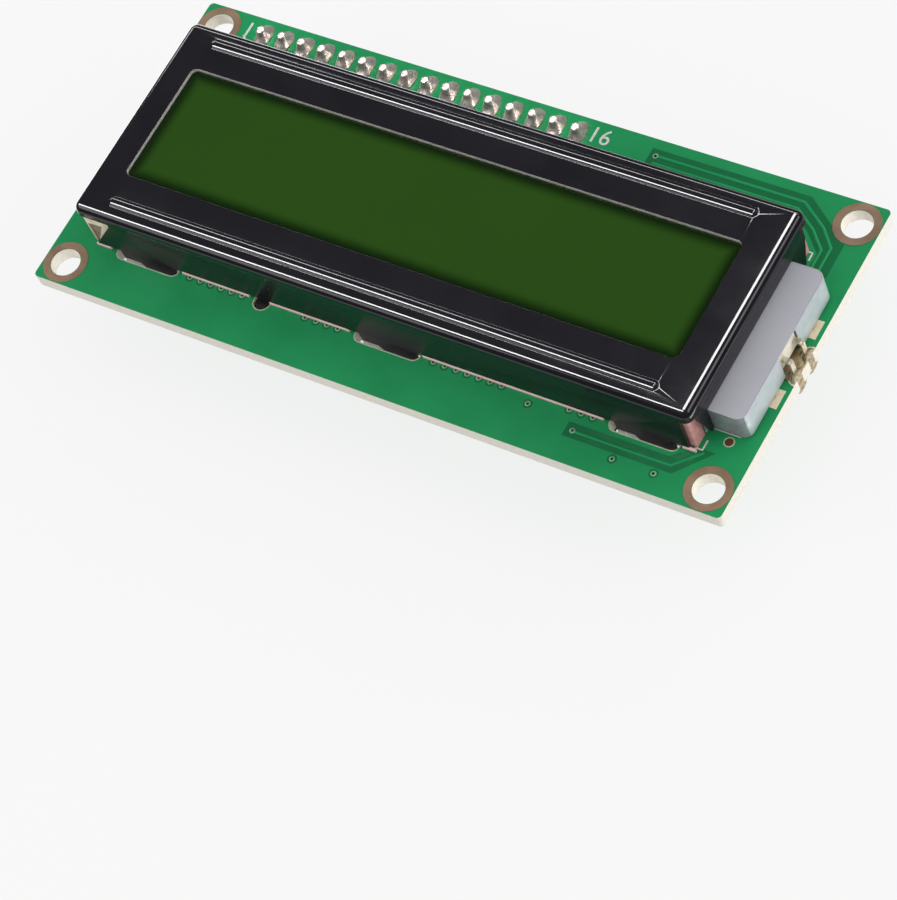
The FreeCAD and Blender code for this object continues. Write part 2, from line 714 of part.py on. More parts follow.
def tongue(x, y, inward):
    """Tongue through the board. Half of its free end is turned inwards over the copper pad."""
    half = SHEET_T / 2
    below = BACK_Z - COPPER_T - TONGUE_NECK
    low = BACK_Z - TONGUE_REACH
    neck = box(x - TONGUE_W / 2, x + TONGUE_W / 2, y - half, y + half, below, BEZEL_FOOT_GAP)
    kept = box(x, x + inward * TONGUE_W / 2, y - half, y + half, low, below)
    wing = strip_face([TONGUE_W / 2 - TONGUE_TURNED_RUN, TONGUE_TURNED_RUN],
                      [-TONGUE_TURN_DEG], TONGUE_TURN_R, SHEET_T)
    wing = wing.extrude(V(0, 0, below - low - TONGUE_NECK))
    if inward > 0:
        wing.rotate(V(0, 0, 0), AXIS_Z, 180)
    wing.translate(V(x, y, low))
    return neck.fuse([kept, wing])


def bezel():
    """Folded sheet: tray, window, beads, cut-out for the light guide and six tongues."""
    shape = bezel_shell()
    cuts = corner_openings()
    cuts.append(rounded_block((WINDOW_X0 + WINDOW_X1) / 2, (WINDOW_Y0 + WINDOW_Y1) / 2,
                              WINDOW_X1 - WINDOW_X0, WINDOW_Y1 - WINDOW_Y0, WINDOW_R,
                              SHEET_Z - 1, BEZEL_TOP + 1))
    cuts.append(box(BEZEL_X1 - SHEET_T - BEZEL_BEND_R, BEZEL_X1 + 1,
                    GUIDE_TONGUE_Y0 - GUIDE_CUTOUT_SPARE, GUIDE_TONGUE_Y1 + GUIDE_CUTOUT_SPARE,
                    0, DIFFUSER_Z + GUIDE_FILM_T + GUIDE_CUTOUT_SPARE))
    shape = shape.cut(cuts)
    bead_ys = [BEZEL_Y0 + BEAD_INSET, BEZEL_Y1 - BEAD_INSET]
    shape = shape.fuse([bead(y, 0) for y in bead_ys])
    shape = shape.cut([bead(y, -SHEET_T) for y in bead_ys])
    tongues = [tongue(x, FRONT_TONGUE_Y, 1) for x in TONGUE_XS]
    tongues += [tongue(x, REAR_TONGUE_Y, -1) for x in TONGUE_XS]
    return shape.fuse(tongues).removeSplitter()


# Display cell and backlight

def cell_plate(z, thickness, x_clear, y0, y1):
    return box(INNER_X0 + x_clear, INNER_X1 - x_clear, y0, y1, z, z + thickness)


def front_plates():
    """Front glass across the whole bezel, and its film, which stops short of the bends."""
    side = STACK_SIDE_CLEARANCE
    glass = cell_plate(FRONT_GLASS_Z, GLASS_T, GLASS_END_CLEARANCE, INNER_Y0 + side, INNER_Y1 - side)
    inset = BEZEL_BEND_R
    film = cell_plate(FRONT_FILM_Z, FILM_T, GLASS_END_CLEARANCE + inset, INNER_Y0 + inset, INNER_Y1 - inset)
    return glass, film


def zebra_ys():
    side = STACK_SIDE_CLEARANCE
    return (INNER_Y0 + side, INNER_Y0 + side + ZEBRA_W), (INNER_Y1 - side - ZEBRA_W, INNER_Y1 - side)


def zebra_strip(y0, y1):
    """Elastomer strip pressed between the board's contacts and the glass ledge."""
    x0 = INNER_X0 + GLASS_END_CLEARANCE + ZEBRA_LEFT_GAP
    return box(x0, INNER_X1 - GLASS_END_CLEARANCE, y0, y1, 0, FRONT_GLASS_Z)


def between_strips():
    low, high = zebra_ys()
    return low[1] + STACK_SIDE_CLEARANCE, high[0] - STACK_SIDE_CLEARANCE


def light_guide():
    """Clear block under the glass; its lit end sticks out of the bezel and holds the lamp."""
    y0, y1 = between_strips()
    body = box(INNER_X0 + GUIDE_LEFT_GAP, GUIDE_X1, y0, y1, GUIDE_Z, DIFFUSER_Z)
    end = box(GUIDE_X1 - GUIDE_TONGUE_LAP, GUIDE_END_X, GUIDE_TONGUE_Y0, GUIDE_TONGUE_Y1,
              GUIDE_Z, DIFFUSER_Z)
    corners = [e for e in end.Edges if abs(e.tangentAt(e.FirstParameter).z) > 0.9
               and abs(e.CenterOfMass.x - GUIDE_END_X) < 1e-6]
    end = end.makeFillet(GUIDE_TONGUE_R, corners)
    return body.fuse(end).cut(lamp_recess(LAMP_CLEARANCE)).removeSplitter()


def lamp_recess(clear):
    return box(LAMP_X1 - LAMP_DEPTH - clear, GUIDE_END_X + 1, LAMP_CY - LAMP_L / 2 - clear,
               LAMP_CY + LAMP_L / 2 + clear, GUIDE_Z - 1, DIFFUSER_Z + 1)


def guide_films():
    """White reflector under the guide, diffuser on its lit part, grey film on its outer end."""
    y0, y1 = between_strips()
    x0 = INNER_X0 + GUIDE_LEFT_GAP
    reflector = box(x0, GUIDE_X1, y0, y1, STACK_Z, GUIDE_Z)
    reflector = reflector.fuse(box(GUIDE_X1 - GUIDE_TONGUE_LAP, GUIDE_END_X - GUIDE_TONGUE_R,
                                   GUIDE_TONGUE_Y0, GUIDE_TONGUE_Y1, STACK_Z, GUIDE_Z)).removeSplitter()
    diffuser = box(x0, GUIDE_X1, y0, y1, DIFFUSER_Z, DIFFUSER_Z + DIFFUSER_T)
    film_x0 = BEZEL_X1 - SHEET_T
    cover = box(film_x0, GUIDE_END_X, GUIDE_TONGUE_Y0, GUIDE_TONGUE_Y1,
                DIFFUSER_Z, DIFFUSER_Z + GUIDE_FILM_T)
    corners = [e for e in cover.Edges if abs(e.tangentAt(e.FirstParameter).z) > 0.9
               and abs(e.CenterOfMass.x - GUIDE_END_X) < 1e-6]
    cover = cover.makeFillet(GUIDE_TONGUE_R, corners)
    return reflector, diffuser, cover


def backlight_led():
    """White lamp body that fires into the guide, held in the recess under the grey film."""
    body = box(LAMP_X1 - LAMP_DEPTH, LAMP_X1, LAMP_CY - LAMP_L / 2, LAMP_CY + LAMP_L / 2,
               DIFFUSER_Z - LAMP_H, DIFFUSER_Z)
    return body


def lamp_leads():
    """Two silvered strips from the lamp down over the edge pads."""
    leads = []
    drop = DIFFUSER_Z - LAMP_LEAD_Z - COPPER_T
    out = RIGHT_X - LAMP_LEAD_EDGE - LAMP_X1
    for y in LAMP_LEAD_YS:
        frame = (V(LAMP_X1, y, DIFFUSER_Z - LAMP_LEAD_Z), AXIS_X, AXIS_Z)
        runs = [out - LAMP_LEAD_BEND_R, drop - LAMP_LEAD_BEND_R]
        leads.append(bent_strip(runs, [-90], LAMP_LEAD_BEND_R, LAMP_LEAD_T, LAMP_LEAD_W, frame))
    return group(leads)


def lead_solder():
    """Solder over the edge pads on both faces, around the ends of the lamp's leads."""
    blobs = []
    leads = lamp_leads()
    low = BACK_Z - COPPER_T
    for y in LAMP_LEAD_YS:
        front = solder_mound(RIGHT_X, y, [(EDGE_SOLDER_R * r, COPPER_T + EDGE_SOLDER_FRONT_H * h)
                                          for r, h in EDGE_SOLDER_SECTION])
        back = solder_mound(RIGHT_X, y, [(EDGE_SOLDER_R * r, low - EDGE_SOLDER_BACK_H * h)
                                         for r, h in EDGE_SOLDER_SECTION])
        plug = eight_sided(RIGHT_X, y, EDGE_HOLE_R, low, COPPER_T)
        blobs.append(front.fuse([back, plug]).cut([beyond_right_edge(), leads]).removeSplitter())
    return group(blobs)


# Display header between the boards

def display_pins():
    """Sixteen square pins that carry the adapter board and join it to the main board."""
    low = ADAPTER_OUT_Z - DOME_H + PIN_TIP_COVER
    pins = [centred_box(x, PIN_ROW_Y, PIN_SIDE, PIN_SIDE, low, PIN_STUB) for x in PIN_XS]
    return group(pins)


def pin_spacer():
    """Moulded bar that sets the gap between the boards."""
    length = PIN_PITCH * PIN_COUNT
    x0 = PIN_FIRST_X - PIN_PITCH / 2
    bar = box(x0, x0 + length, PIN_ROW_Y - SPACER_W / 2, PIN_ROW_Y + SPACER_W / 2, ADAPTER_IN_Z, BACK_Z)
    holes = [centred_box(x, PIN_ROW_Y, PIN_SIDE, PIN_SIDE, ADAPTER_IN_Z, BACK_Z) for x in PIN_XS]
    return bar.cut(holes)


def front_solder():
    """Solder that flows from a long pad up around each pin stub on the front."""
    joints = []
    for x in PIN_XS:
        mound = solid_through([
            oblong_points(x, PIN_ROW_Y, FRONT_PAD_W, FRONT_PAD_L, 0),
            ring_points(x, PIN_ROW_Y, FRONT_CONE_R, FRONT_CONE_FOOT_H, SOLDER_SIDES),
            ring_points(x, PIN_ROW_Y, FRONT_CONE_TOP_R, FRONT_CONE_H, SOLDER_SIDES)])
        pin = centred_box(x, PIN_ROW_Y, PIN_SIDE, PIN_SIDE, -1, PIN_STUB + 1)
        joints.append(mound.cut(pin))
    return group(joints)


def adapter_solder():
    """Solder domes over the pin ends on the outer face of the adapter board."""
    joints = []
    for x in PIN_XS:
        pin = centred_box(x, PIN_ROW_Y, PIN_SIDE, PIN_SIDE,
                          ADAPTER_OUT_Z - DOME_H + PIN_TIP_COVER, ADAPTER_OUT_Z + 1)
        mound = solder_mound(x, PIN_ROW_Y, [(DOME_R * r, ADAPTER_OUT_Z - DOME_H * h)
                                            for r, h in DOME_SECTION])
        joints.append(mound.cut(pin))
    return group(joints)


# Adapter board

def adapter_board():
    board = box(ADAPTER_X0, ADAPTER_X1, ADAPTER_TOP_Y - ADAPTER_W, ADAPTER_TOP_Y,
                ADAPTER_OUT_Z, ADAPTER_IN_Z)
    top = ADAPTER_IN_Z + 1
    low = ADAPTER_OUT_Z - 1
    holes = [drilled(x, PIN_ROW_Y, PIN_HOLE_R, low, top) for x in PIN_XS]
    holes += [drilled(BUS_X, y, PIN_HOLE_R, low, top) for y in BUS_YS]
    holes += [drilled(JUMPER_X, y, PIN_HOLE_R, low, top) for y in JUMPER_YS]
    holes += [drilled(x, y, TRIMMER_LEAD_R + LEAD_HOLE_SPARE, low, top) for x, y in TRIMMER_LEADS]
    return board.cut(holes)


def end_pads(x, y, way, face_z):
    """Two pads of a chip part on a back-facing surface."""
    reach = CHIP_PART_L / 2 + PAD_SPARE
    inner = CHIP_PART_L / 2 - CHIP_PART_END
    half = CHIP_PART_W / 2 + PAD_SPARE_W
    pads = []
    for side in (-1, 1):
        if way == "x":
            pads.append(box(x + side * inner, x + side * reach, y - half, y + half,
                            face_z - COPPER_T, face_z))
        else:
            pads.append(box(x - half, x + half, y + side * inner, y + side * reach,
                            face_z - COPPER_T, face_z))
    return pads


def adapter_pads():
    """Tinned pads of the adapter board's parts and of its six address bridges."""
    pads = []
    for place in ADAPTER_RESISTORS + [ADAPTER_CAPACITOR, ADAPTER_LIGHT]:
        pads += end_pads(*on_adapter(place), ADAPTER_OUT_Z)
    for dx in ADDRESS_COLUMNS:
        for dy in ADDRESS_ROWS:
            pads.append(centred_box(ADAPTER_X0 + dx, ADAPTER_TOP_Y - dy, ADDRESS_PAD_L, ADDRESS_PAD_W,
                                    PART_SEAT_Z, ADAPTER_OUT_Z))
    for side in (-1, 1):
        for y in chip_lead_ys():
            x = CHIP_CX + side * (CHIP_SPAN / 2 + CHIP_PAD_L / 2 - CHIP_FOOT_L)
            pads.append(centred_box(x, y, CHIP_PAD_L, CHIP_PAD_W, PART_SEAT_Z, ADAPTER_OUT_Z))
    for x, side in transistor_lead_places():
        y = TRANSISTOR_Y + side * (SOT_SPAN / 2 - SOT_PAD_SPARE)
        pads.append(centred_box(x, y, SOT_LEAD_W + 2 * SOT_PAD_SPARE, SOT_PAD_L, PART_SEAT_Z, ADAPTER_OUT_Z))
    return group(pads)


def chip_lead_ys():
    middle = (CHIP_LEADS_PER_SIDE - 1) / 2
    return [CHIP_CY + (index - middle) * CHIP_PITCH for index in range(CHIP_LEADS_PER_SIDE)]


def tapered_body(cx, cy, length, width, z_top, z_low, draft):
    """Moulded body, widest at its parting line half way up and drafted towards both faces."""
    middle = (z_top + z_low) / 2

    def ring(z, inset):
        x = length / 2 - inset
        y = width / 2 - inset
        points = [V(cx - x, cy - y, z), V(cx + x, cy - y, z), V(cx + x, cy + y, z), V(cx - x, cy + y, z)]
        return Part.makePolygon(points + points[:1])

    upper = Part.makeLoft([ring(z_top, draft), ring(middle, 0)], True, True)
    lower = Part.makeLoft([ring(middle, 0), ring(z_low, draft)], True, True)
    return upper.fuse(lower)


def expander_chip():
    seat = PART_SEAT_Z - CHIP_STANDOFF
    body = tapered_body(CHIP_CX, CHIP_CY, CHIP_W, CHIP_L, seat, seat - CHIP_H, CHIP_DRAFT)
    dimple_x = CHIP_CX - CHIP_W / 2 + CHIP_DIMPLE_INSET
    dimple_y = CHIP_CY - CHIP_L / 2 + CHIP_DIMPLE_INSET
    low = seat - CHIP_H
    return body.cut(rod(dimple_x, dimple_y, CHIP_DIMPLE_R, low - 1, low + CHIP_DIMPLE_DEPTH))


def gull_lead(side, y):
    """Lead that leaves the body at its parting line, drops to the pad and ends in a flat foot."""
    rise = CHIP_STANDOFF + CHIP_H / 2 - CHIP_LEAD_T / 2
    radius = CHIP_LEAD_BEND_R
    out = (CHIP_SPAN - CHIP_W) / 2 - CHIP_FOOT_L
    shoulder = out - radius
    foot = CHIP_FOOT_L - radius
    start = V(CHIP_CX + side * CHIP_W / 2, y, PART_SEAT_Z - CHIP_STANDOFF - CHIP_H / 2)
    frame = (start, V(side, 0, 0), V(0, 0, -1))
    return bent_strip([shoulder, rise - 2 * radius, foot], [-90, 90], radius, CHIP_LEAD_T,
                      CHIP_LEAD_W, frame, True)


def expander_leads():
    return group([gull_lead(side, y) for side in (-1, 1) for y in chip_lead_ys()])


# Trimmer

def trimmer_body():
    """Moulded case on four feet, with a round well for the rotor and a small index hollow."""
    face = ADAPTER_OUT_Z - TRIMMER_H
    body = rounded_block(TRIMMER_CX, TRIMMER_CY, TRIMMER_L, TRIMMER_W, TRIMMER_CORNER_R,
                         face, ADAPTER_OUT_Z)
    foot = TRIMMER_FOOT_W
    gap_x = centred_box(TRIMMER_CX, TRIMMER_CY, TRIMMER_L - 2 * foot, TRIMMER_W + 1,
                        ADAPTER_OUT_Z - TRIMMER_FOOT_H, ADAPTER_OUT_Z)
    gap_y = centred_box(TRIMMER_CX, TRIMMER_CY, TRIMMER_L + 1, TRIMMER_W - 2 * foot,
                        ADAPTER_OUT_Z - TRIMMER_FOOT_H, ADAPTER_OUT_Z)
    well = rod(TRIMMER_CX, TRIMMER_CY, ROTOR_R + ROTOR_CLEARANCE, face - 1,
               face + ROTOR_SUNK + ROTOR_H + ROTOR_CLEARANCE)
    bore = rod(TRIMMER_CX, TRIMMER_CY, ROTOR_STEM_R + ROTOR_CLEARANCE, face,
               face + ROTOR_SUNK + ROTOR_H + ROTOR_STEM_L + ROTOR_CLEARANCE)
    index = drilled(TRIMMER_CX + INDEX_DX, TRIMMER_CY + INDEX_DY, INDEX_R, face - 1, face + INDEX_DEPTH)
    return body.cut([gap_x, gap_y, well, bore, index])


def trimmer_rotor():
    """Rotor with a cross slot for a screwdriver; its stem turns in the case."""
    outer = ADAPTER_OUT_Z - TRIMMER_H + ROTOR_SUNK
    head = rod(TRIMMER_CX, TRIMMER_CY, ROTOR_R, outer, outer + ROTOR_H)
    stem = rod(TRIMMER_CX, TRIMMER_CY, ROTOR_STEM_R, outer, outer + ROTOR_H + ROTOR_STEM_L)
    long_slot = centred_box(TRIMMER_CX, TRIMMER_CY, 2 * ROTOR_R + 1, ROTOR_SLOT_W,
                            outer - 1, outer + ROTOR_SLOT_DEPTH)
    cross_slot = centred_box(TRIMMER_CX, TRIMMER_CY, ROTOR_SLOT_W, 2 * ROTOR_R + 1,
                             outer - 1, outer + ROTOR_SLOT_DEPTH)
    return head.fuse(stem).cut([long_slot, cross_slot])


def trimmer_leads():
    seat = ADAPTER_OUT_Z - TRIMMER_FOOT_H
    top = ADAPTER_IN_Z + TAIL_L
    return group([drilled(x, y, TRIMMER_LEAD_R, seat, top) for x, y in TRIMMER_LEADS])


def tail_cone(x, y):
    return solder_mound(x, y, [(TAIL_SOLDER_R, ADAPTER_IN_Z), (PIN_HOLE_R, ADAPTER_IN_Z + TAIL_SOLDER_H)])


def tail_solder():
    """Solder around the tails of the headers and of the trimmer, between the two boards."""
    joints = []
    tails = [(BUS_X, y) for y in BUS_YS] + [(JUMPER_X, y) for y in JUMPER_YS]
    for x, y in tails:
        joints.append(tail_cone(x, y).cut(centred_box(x, y, PIN_SIDE, PIN_SIDE, ADAPTER_IN_Z, 0)))
    for x, y in TRIMMER_LEADS:
        joints.append(tail_cone(x, y).cut(drilled(x, y, TRIMMER_LEAD_R, ADAPTER_IN_Z, 0)))
    return group(joints)


# Right-angle headers and the jumper cap

def header_block(x, ys):
    """Moulded block with bevelled corners between the pins, drilled for the square pins."""
    pitch = PIN_PITCH
    top = max(ys) + pitch / 2
    low = min(ys) - pitch / 2
    z_out = ADAPTER_OUT_Z - BLOCK_H
    block = box(x - BLOCK_W / 2, x + BLOCK_W / 2, low, top, z_out, ADAPTER_OUT_Z)
    cuts = [centred_box(x, y, PIN_SIDE, PIN_SIDE, z_out, ADAPTER_OUT_Z) for y in ys]
    for index in range(len(ys) + 1):
        y = low + pitch * index
        for side in (-1, 1):
            edge = x + side * BLOCK_W / 2
            points = [V(edge, y - BLOCK_NOTCH, z_out), V(edge - side * BLOCK_NOTCH, y, z_out),
                      V(edge, y + BLOCK_NOTCH, z_out)]
            cuts.append(Part.Face(Part.makePolygon(points + points[:1])).extrude(V(0, 0, BLOCK_H)))
    return block.cut(cuts)


def header_pins(x, ys, way, reach):
    """Square pins that rise through the block, turn over and run out past the board's end."""
    tail = ADAPTER_IN_Z + TAIL_L
    rise = tail - PIN_LINE_Z
    pins = []
    for y in ys:
        frame = (V(x, y, tail), V(0, 0, -1), V(-way, 0, 0))
        pins.append(bent_strip([rise - PIN_BEND_R, reach - PIN_BEND_R], [-90], PIN_BEND_R,
                               PIN_SIDE, PIN_SIDE, frame))
    return group(pins)


def cap_middle():
    return (max(JUMPER_YS) + min(JUMPER_YS)) / 2


def clip_room():
    """Half width of the room for the pins and the clip, and the level of its floor."""
    spread = (max(JUMPER_YS) - min(JUMPER_YS)) / 2
    half = spread + PIN_SIDE / 2 + CLIP_CLEARANCE + CLIP_T
    return half, PIN_LINE_Z - PIN_SIDE / 2 - CLIP_CLEARANCE - CLIP_T


def jumper_cap():
    """Sleeve over both pins, open at both ends, with two lugs and a round notch at its outer end."""
    y = cap_middle()
    x1 = CAP_X0 + CAP_L
    z0 = PIN_LINE_Z - CAP_H / 2
    z1 = PIN_LINE_Z + CAP_H / 2
    block = box(CAP_X0, x1, y - CAP_W / 2, y + CAP_W / 2, z0, z1)
    along = [e for e in block.Edges if abs(e.tangentAt(e.FirstParameter).x) > 0.9]
    block = block.makeChamfer(CAP_EDGE_BEVEL, along)
    half, low = clip_room()
    room = box(CAP_X0 - 1, x1 + 1, y - half, y + half, low,
               PIN_LINE_Z + PIN_SIDE / 2 + CAP_PIN_CLEARANCE)
    notch = rod(x1, y, CAP_NOTCH_R, z0 - 1, z1 + 1)
    return block.cut([room, notch])


def jumper_clip():
    """Bent spring plate inside the cap: a bridge under both pins and a cheek beside each."""
    y = cap_middle()
    x0 = CAP_X0 + CLIP_END_GAP
    x1 = CAP_X0 + CAP_L - CLIP_END_GAP
    half, floor_z = clip_room()
    bridge = box(x0, x1, y - half, y + half, floor_z, floor_z + CLIP_T)
    cheeks = [box(x0, x1, y + side * half, y + side * (half - CLIP_T), floor_z,
                  PIN_LINE_Z + PIN_SIDE / 2) for side in (-1, 1)]
    return bridge.fuse(cheeks).removeSplitter()


# Small parts

def chip_part(x, y, way, seat_z, height):
    """Body and two metal ends of a chip part that hangs under a back-facing surface."""
    inner = CHIP_PART_L / 2 - CHIP_PART_END
    half = CHIP_PART_W / 2
    spans = [(-inner, inner), (-CHIP_PART_L / 2, -inner), (inner, CHIP_PART_L / 2)]
    pieces = []
    for a, b in spans:
        if way == "x":
            pieces.append(box(x + a, x + b, y - half, y + half, seat_z - height, seat_z))
        else:
            pieces.append(box(x - half, x + half, y + a, y + b, seat_z - height, seat_z))
    return pieces


def adapter_places(places):
    return [on_adapter(place) for place in places]


def chip_bodies(places, seat_z, height):
    return group([chip_part(x, y, way, seat_z, height)[0] for x, y, way in places])


def chip_ends(places, seat_z, height):
    return group([end for x, y, way in places for end in chip_part(x, y, way, seat_z, height)[1:]])


def power_light():
    """Chip lamp: a thin base with a domed lens, between its two metal ends."""
    x, y, way = on_adapter(ADAPTER_LIGHT)
    base = chip_part(x, y, way, PART_SEAT_Z, LIGHT_H)[0]
    lens_z = PART_SEAT_Z - LIGHT_H
    lens = solder_mound(x, y, [(LIGHT_LENS_R, lens_z), (LIGHT_LENS_TOP_R, lens_z - LIGHT_LENS_H)])
    return base.fuse(lens)


def transistor_lead_places():
    """One lead towards the pin row and two on the other side."""
    return [(TRANSISTOR_X, 1), (TRANSISTOR_X - SOT_PITCH / 2, -1), (TRANSISTOR_X + SOT_PITCH / 2, -1)]


def transistor():
    seat = PART_SEAT_Z - SOT_STANDOFF
    body = tapered_body(TRANSISTOR_X, TRANSISTOR_Y, SOT_L, SOT_W, seat, seat - SOT_H, SOT_DRAFT)
    drop = SOT_H / 2 + SOT_STANDOFF - SOT_LEAD_T / 2
    out = (SOT_SPAN - SOT_W) / 2
    runs = [out - 2 * SOT_LEAD_BEND_R - SOT_FOOT_L, drop - 2 * SOT_LEAD_BEND_R, SOT_FOOT_L]
    leads = []
    for x, side in transistor_lead_places():
        start = V(x, TRANSISTOR_Y + side * SOT_W / 2, seat - SOT_H / 2)
        frame = (start, V(0, side, 0), V(0, 0, -1))
        leads.append(bent_strip(runs, [-90, 90], SOT_LEAD_BEND_R, SOT_LEAD_T, SOT_LEAD_W, frame, True))
    return body, group(leads)


def chip_cover(x, y, radius):
    """Black resin poured over a bare chip: a low dome of a few rings of flats."""
    rings = []
    for share, height in COVER_SECTION:
        rings.append(ring_points(x, y, radius * share, BACK_Z - COVER_H * height, COVER_SIDES))
    return solid_through(rings)


os.makedirs("parts", exist_ok=True)

board_seat = BACK_Z - COPPER_T
glass, front_film = front_plates()
low_zebra, high_zebra = zebra_ys()
reflector_film, diffuser_film, guide_cover = guide_films()
transistor_body, transistor_feet = transistor()
strip_y0, strip_y1 = between_strips()
resistors = board_resistors()
soldered_pads = group([pad for x, y, way in resistors for pad in end_pads(x, y, way, BACK_Z)])
adapter_resistors = adapter_places(ADAPTER_RESISTORS)
capacitor_place = adapter_places([ADAPTER_CAPACITOR])
light_place = adapter_places([ADAPTER_LIGHT])

nodes = {
    "main_board": main_board(),
    "mounting_rings": mounting_rings(),
    "tongue_pads": tongue_pads(),
    "lamp_pads": lamp_pads(),
    "edge_pads": edge_pads(),
    "empty_pads": empty_pads(),
    "board_resistor_pads": soldered_pads,
    "board_resistor_bodies": chip_bodies(resistors, board_seat, RESISTOR_H),
    "board_resistor_ends": chip_ends(resistors, board_seat, RESISTOR_H),
    "controller_cover": chip_cover(RIGHT_X - CONTROLLER_COVER_DX, CONTROLLER_COVER_Y, CONTROLLER_COVER_R),
    "driver_cover": chip_cover(LEFT_X + DRIVER_COVER_DX, DRIVER_COVER_Y, DRIVER_COVER_R),
    "bezel": bezel(),
    "front_polarizer": front_film,
    "front_glass": glass,
    "rear_glass": cell_plate(REAR_GLASS_Z, GLASS_T, GLASS_END_CLEARANCE, strip_y0, strip_y1),
    "rear_polarizer": cell_plate(REAR_FILM_Z, FILM_T, GLASS_END_CLEARANCE, strip_y0, strip_y1),
    "upper_zebra_strip": zebra_strip(*high_zebra),
    "lower_zebra_strip": zebra_strip(*low_zebra),
    "diffuser_film": diffuser_film,
    "light_guide": light_guide(),
    "light_guide_film": guide_cover,
    "reflector_film": reflector_film,
    "backlight_led": backlight_led(),
    "backlight_leads": lamp_leads(),
    "edge_solder": lead_solder(),
    "display_pins": display_pins(),
    "pin_spacer": pin_spacer(),
    "front_solder": front_solder(),
    "adapter_solder": adapter_solder(),
    "adapter_board": adapter_board(),
    "adapter_pads": adapter_pads(),
    "expander_chip": expander_chip(),
    "expander_leads": expander_leads(),
    "trimmer_body": trimmer_body(),
    "trimmer_rotor": trimmer_rotor(),
    "trimmer_leads": trimmer_leads(),
    "tail_solder": tail_solder(),
    "bus_header_block": header_block(BUS_X, BUS_YS),
    "bus_header_pins": header_pins(BUS_X, BUS_YS, -1, BUS_REACH),
    "jumper_header_block": header_block(JUMPER_X, JUMPER_YS),
    "jumper_header_pins": header_pins(JUMPER_X, JUMPER_YS, 1, JUMPER_REACH),
    "jumper_cap": jumper_cap(),
    "jumper_clip": jumper_clip(),
    "power_light": power_light(),
    "power_light_ends": chip_ends(light_place, PART_SEAT_Z, LIGHT_H),
    "transistor_body": transistor_body,
    "transistor_leads": transistor_feet,
    "capacitor_body": chip_bodies(capacitor_place, PART_SEAT_Z, CAPACITOR_H),
    "capacitor_ends": chip_ends(capacitor_place, PART_SEAT_Z, CAPACITOR_H),
    "adapter_resistor_bodies": chip_bodies(adapter_resistors, PART_SEAT_Z, RESISTOR_H),
    "adapter_resistor_ends": chip_ends(adapter_resistors, PART_SEAT_Z, RESISTOR_H),
}
for node_name, node_shape in nodes.items():
    save(node_name, node_shape)
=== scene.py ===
# %% [markdown]
# A two-row character display module, dressed for a render. The construction model gives every
# solid at its real size. This lesson gives those solids their looks: moulded, printed, soldered
# and enamelled finishes, and the fine things that only show, such as copper lines and white print.
#
# The first step loads the model as a fixed frame, so that whatever is added later sits where the
# real piece sits. Its box is kept, because nothing that is added may reach outside it.

# %% Load the frame
import json
import math

import bmesh
import bpy
from mathutils import Matrix, Quaternion, Vector


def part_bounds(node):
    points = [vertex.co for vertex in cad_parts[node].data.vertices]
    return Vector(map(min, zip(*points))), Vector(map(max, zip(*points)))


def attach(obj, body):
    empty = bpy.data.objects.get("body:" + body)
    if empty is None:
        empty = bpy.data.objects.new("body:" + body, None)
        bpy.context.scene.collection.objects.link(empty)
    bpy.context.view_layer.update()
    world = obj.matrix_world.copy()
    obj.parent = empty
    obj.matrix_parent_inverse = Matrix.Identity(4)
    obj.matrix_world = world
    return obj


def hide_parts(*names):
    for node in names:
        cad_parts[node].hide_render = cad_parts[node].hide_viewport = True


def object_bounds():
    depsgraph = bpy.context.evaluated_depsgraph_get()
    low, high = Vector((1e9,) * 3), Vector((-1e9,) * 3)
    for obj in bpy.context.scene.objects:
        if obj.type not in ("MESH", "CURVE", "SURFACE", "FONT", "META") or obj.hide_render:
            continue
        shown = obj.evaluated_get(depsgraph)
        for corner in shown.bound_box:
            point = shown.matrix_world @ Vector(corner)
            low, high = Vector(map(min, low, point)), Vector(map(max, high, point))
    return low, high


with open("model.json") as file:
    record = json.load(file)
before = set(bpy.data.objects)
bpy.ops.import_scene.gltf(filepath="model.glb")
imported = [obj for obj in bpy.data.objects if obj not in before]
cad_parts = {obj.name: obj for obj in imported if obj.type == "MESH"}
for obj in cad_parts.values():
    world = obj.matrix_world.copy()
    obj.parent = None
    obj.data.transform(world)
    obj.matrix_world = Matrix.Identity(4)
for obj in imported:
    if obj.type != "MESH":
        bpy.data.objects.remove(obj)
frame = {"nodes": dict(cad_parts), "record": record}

MM = 0.001
SEED = 16
cad_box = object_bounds()
print("nodes", len(frame["nodes"]), "box in mm", [round(v / MM, 2) for c in cad_box for v in c])

# %% [markdown]
# Real sizes are easiest to read in millimetres, while the scene is in metres. The levels that most
# pieces need, such as the two faces of each board, are read from the frame and not typed again.

# %% Levels and places read from the frame
board_low, board_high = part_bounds("main_board")
adapter_low, adapter_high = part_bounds("adapter_board")
FRONT = board_high.z
BACK = board_low.z
ADAPTER_FACE = adapter_low.z
ROW_Y = sum(c.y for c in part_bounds("display_pins")) / 2
PIN_SIDE = 0.64 * MM
PIN_PITCH = 2.54 * MM
PIN_COUNT = 16
FIRST_PIN_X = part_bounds("display_pins")[0].x + PIN_SIDE / 2
PIN_XS = [FIRST_PIN_X + i * PIN_PITCH for i in range(PIN_COUNT)]


def mm(*values):
    """Point or size given in millimetres, as a vector in metres."""
    return Vector([v * MM for v in values])


print("board faces", FRONT, BACK, "adapter face", ADAPTER_FACE, "pin row at y", round(ROW_Y, 5))

# %% [markdown]
# The camera stands where the photographer's stood: in front, to the right and high up, and leaned
# over, so that the module runs down to the right. It is placed by its direction and distance from
# the point it looks at, because those can be changed by hand more easily than a matrix.

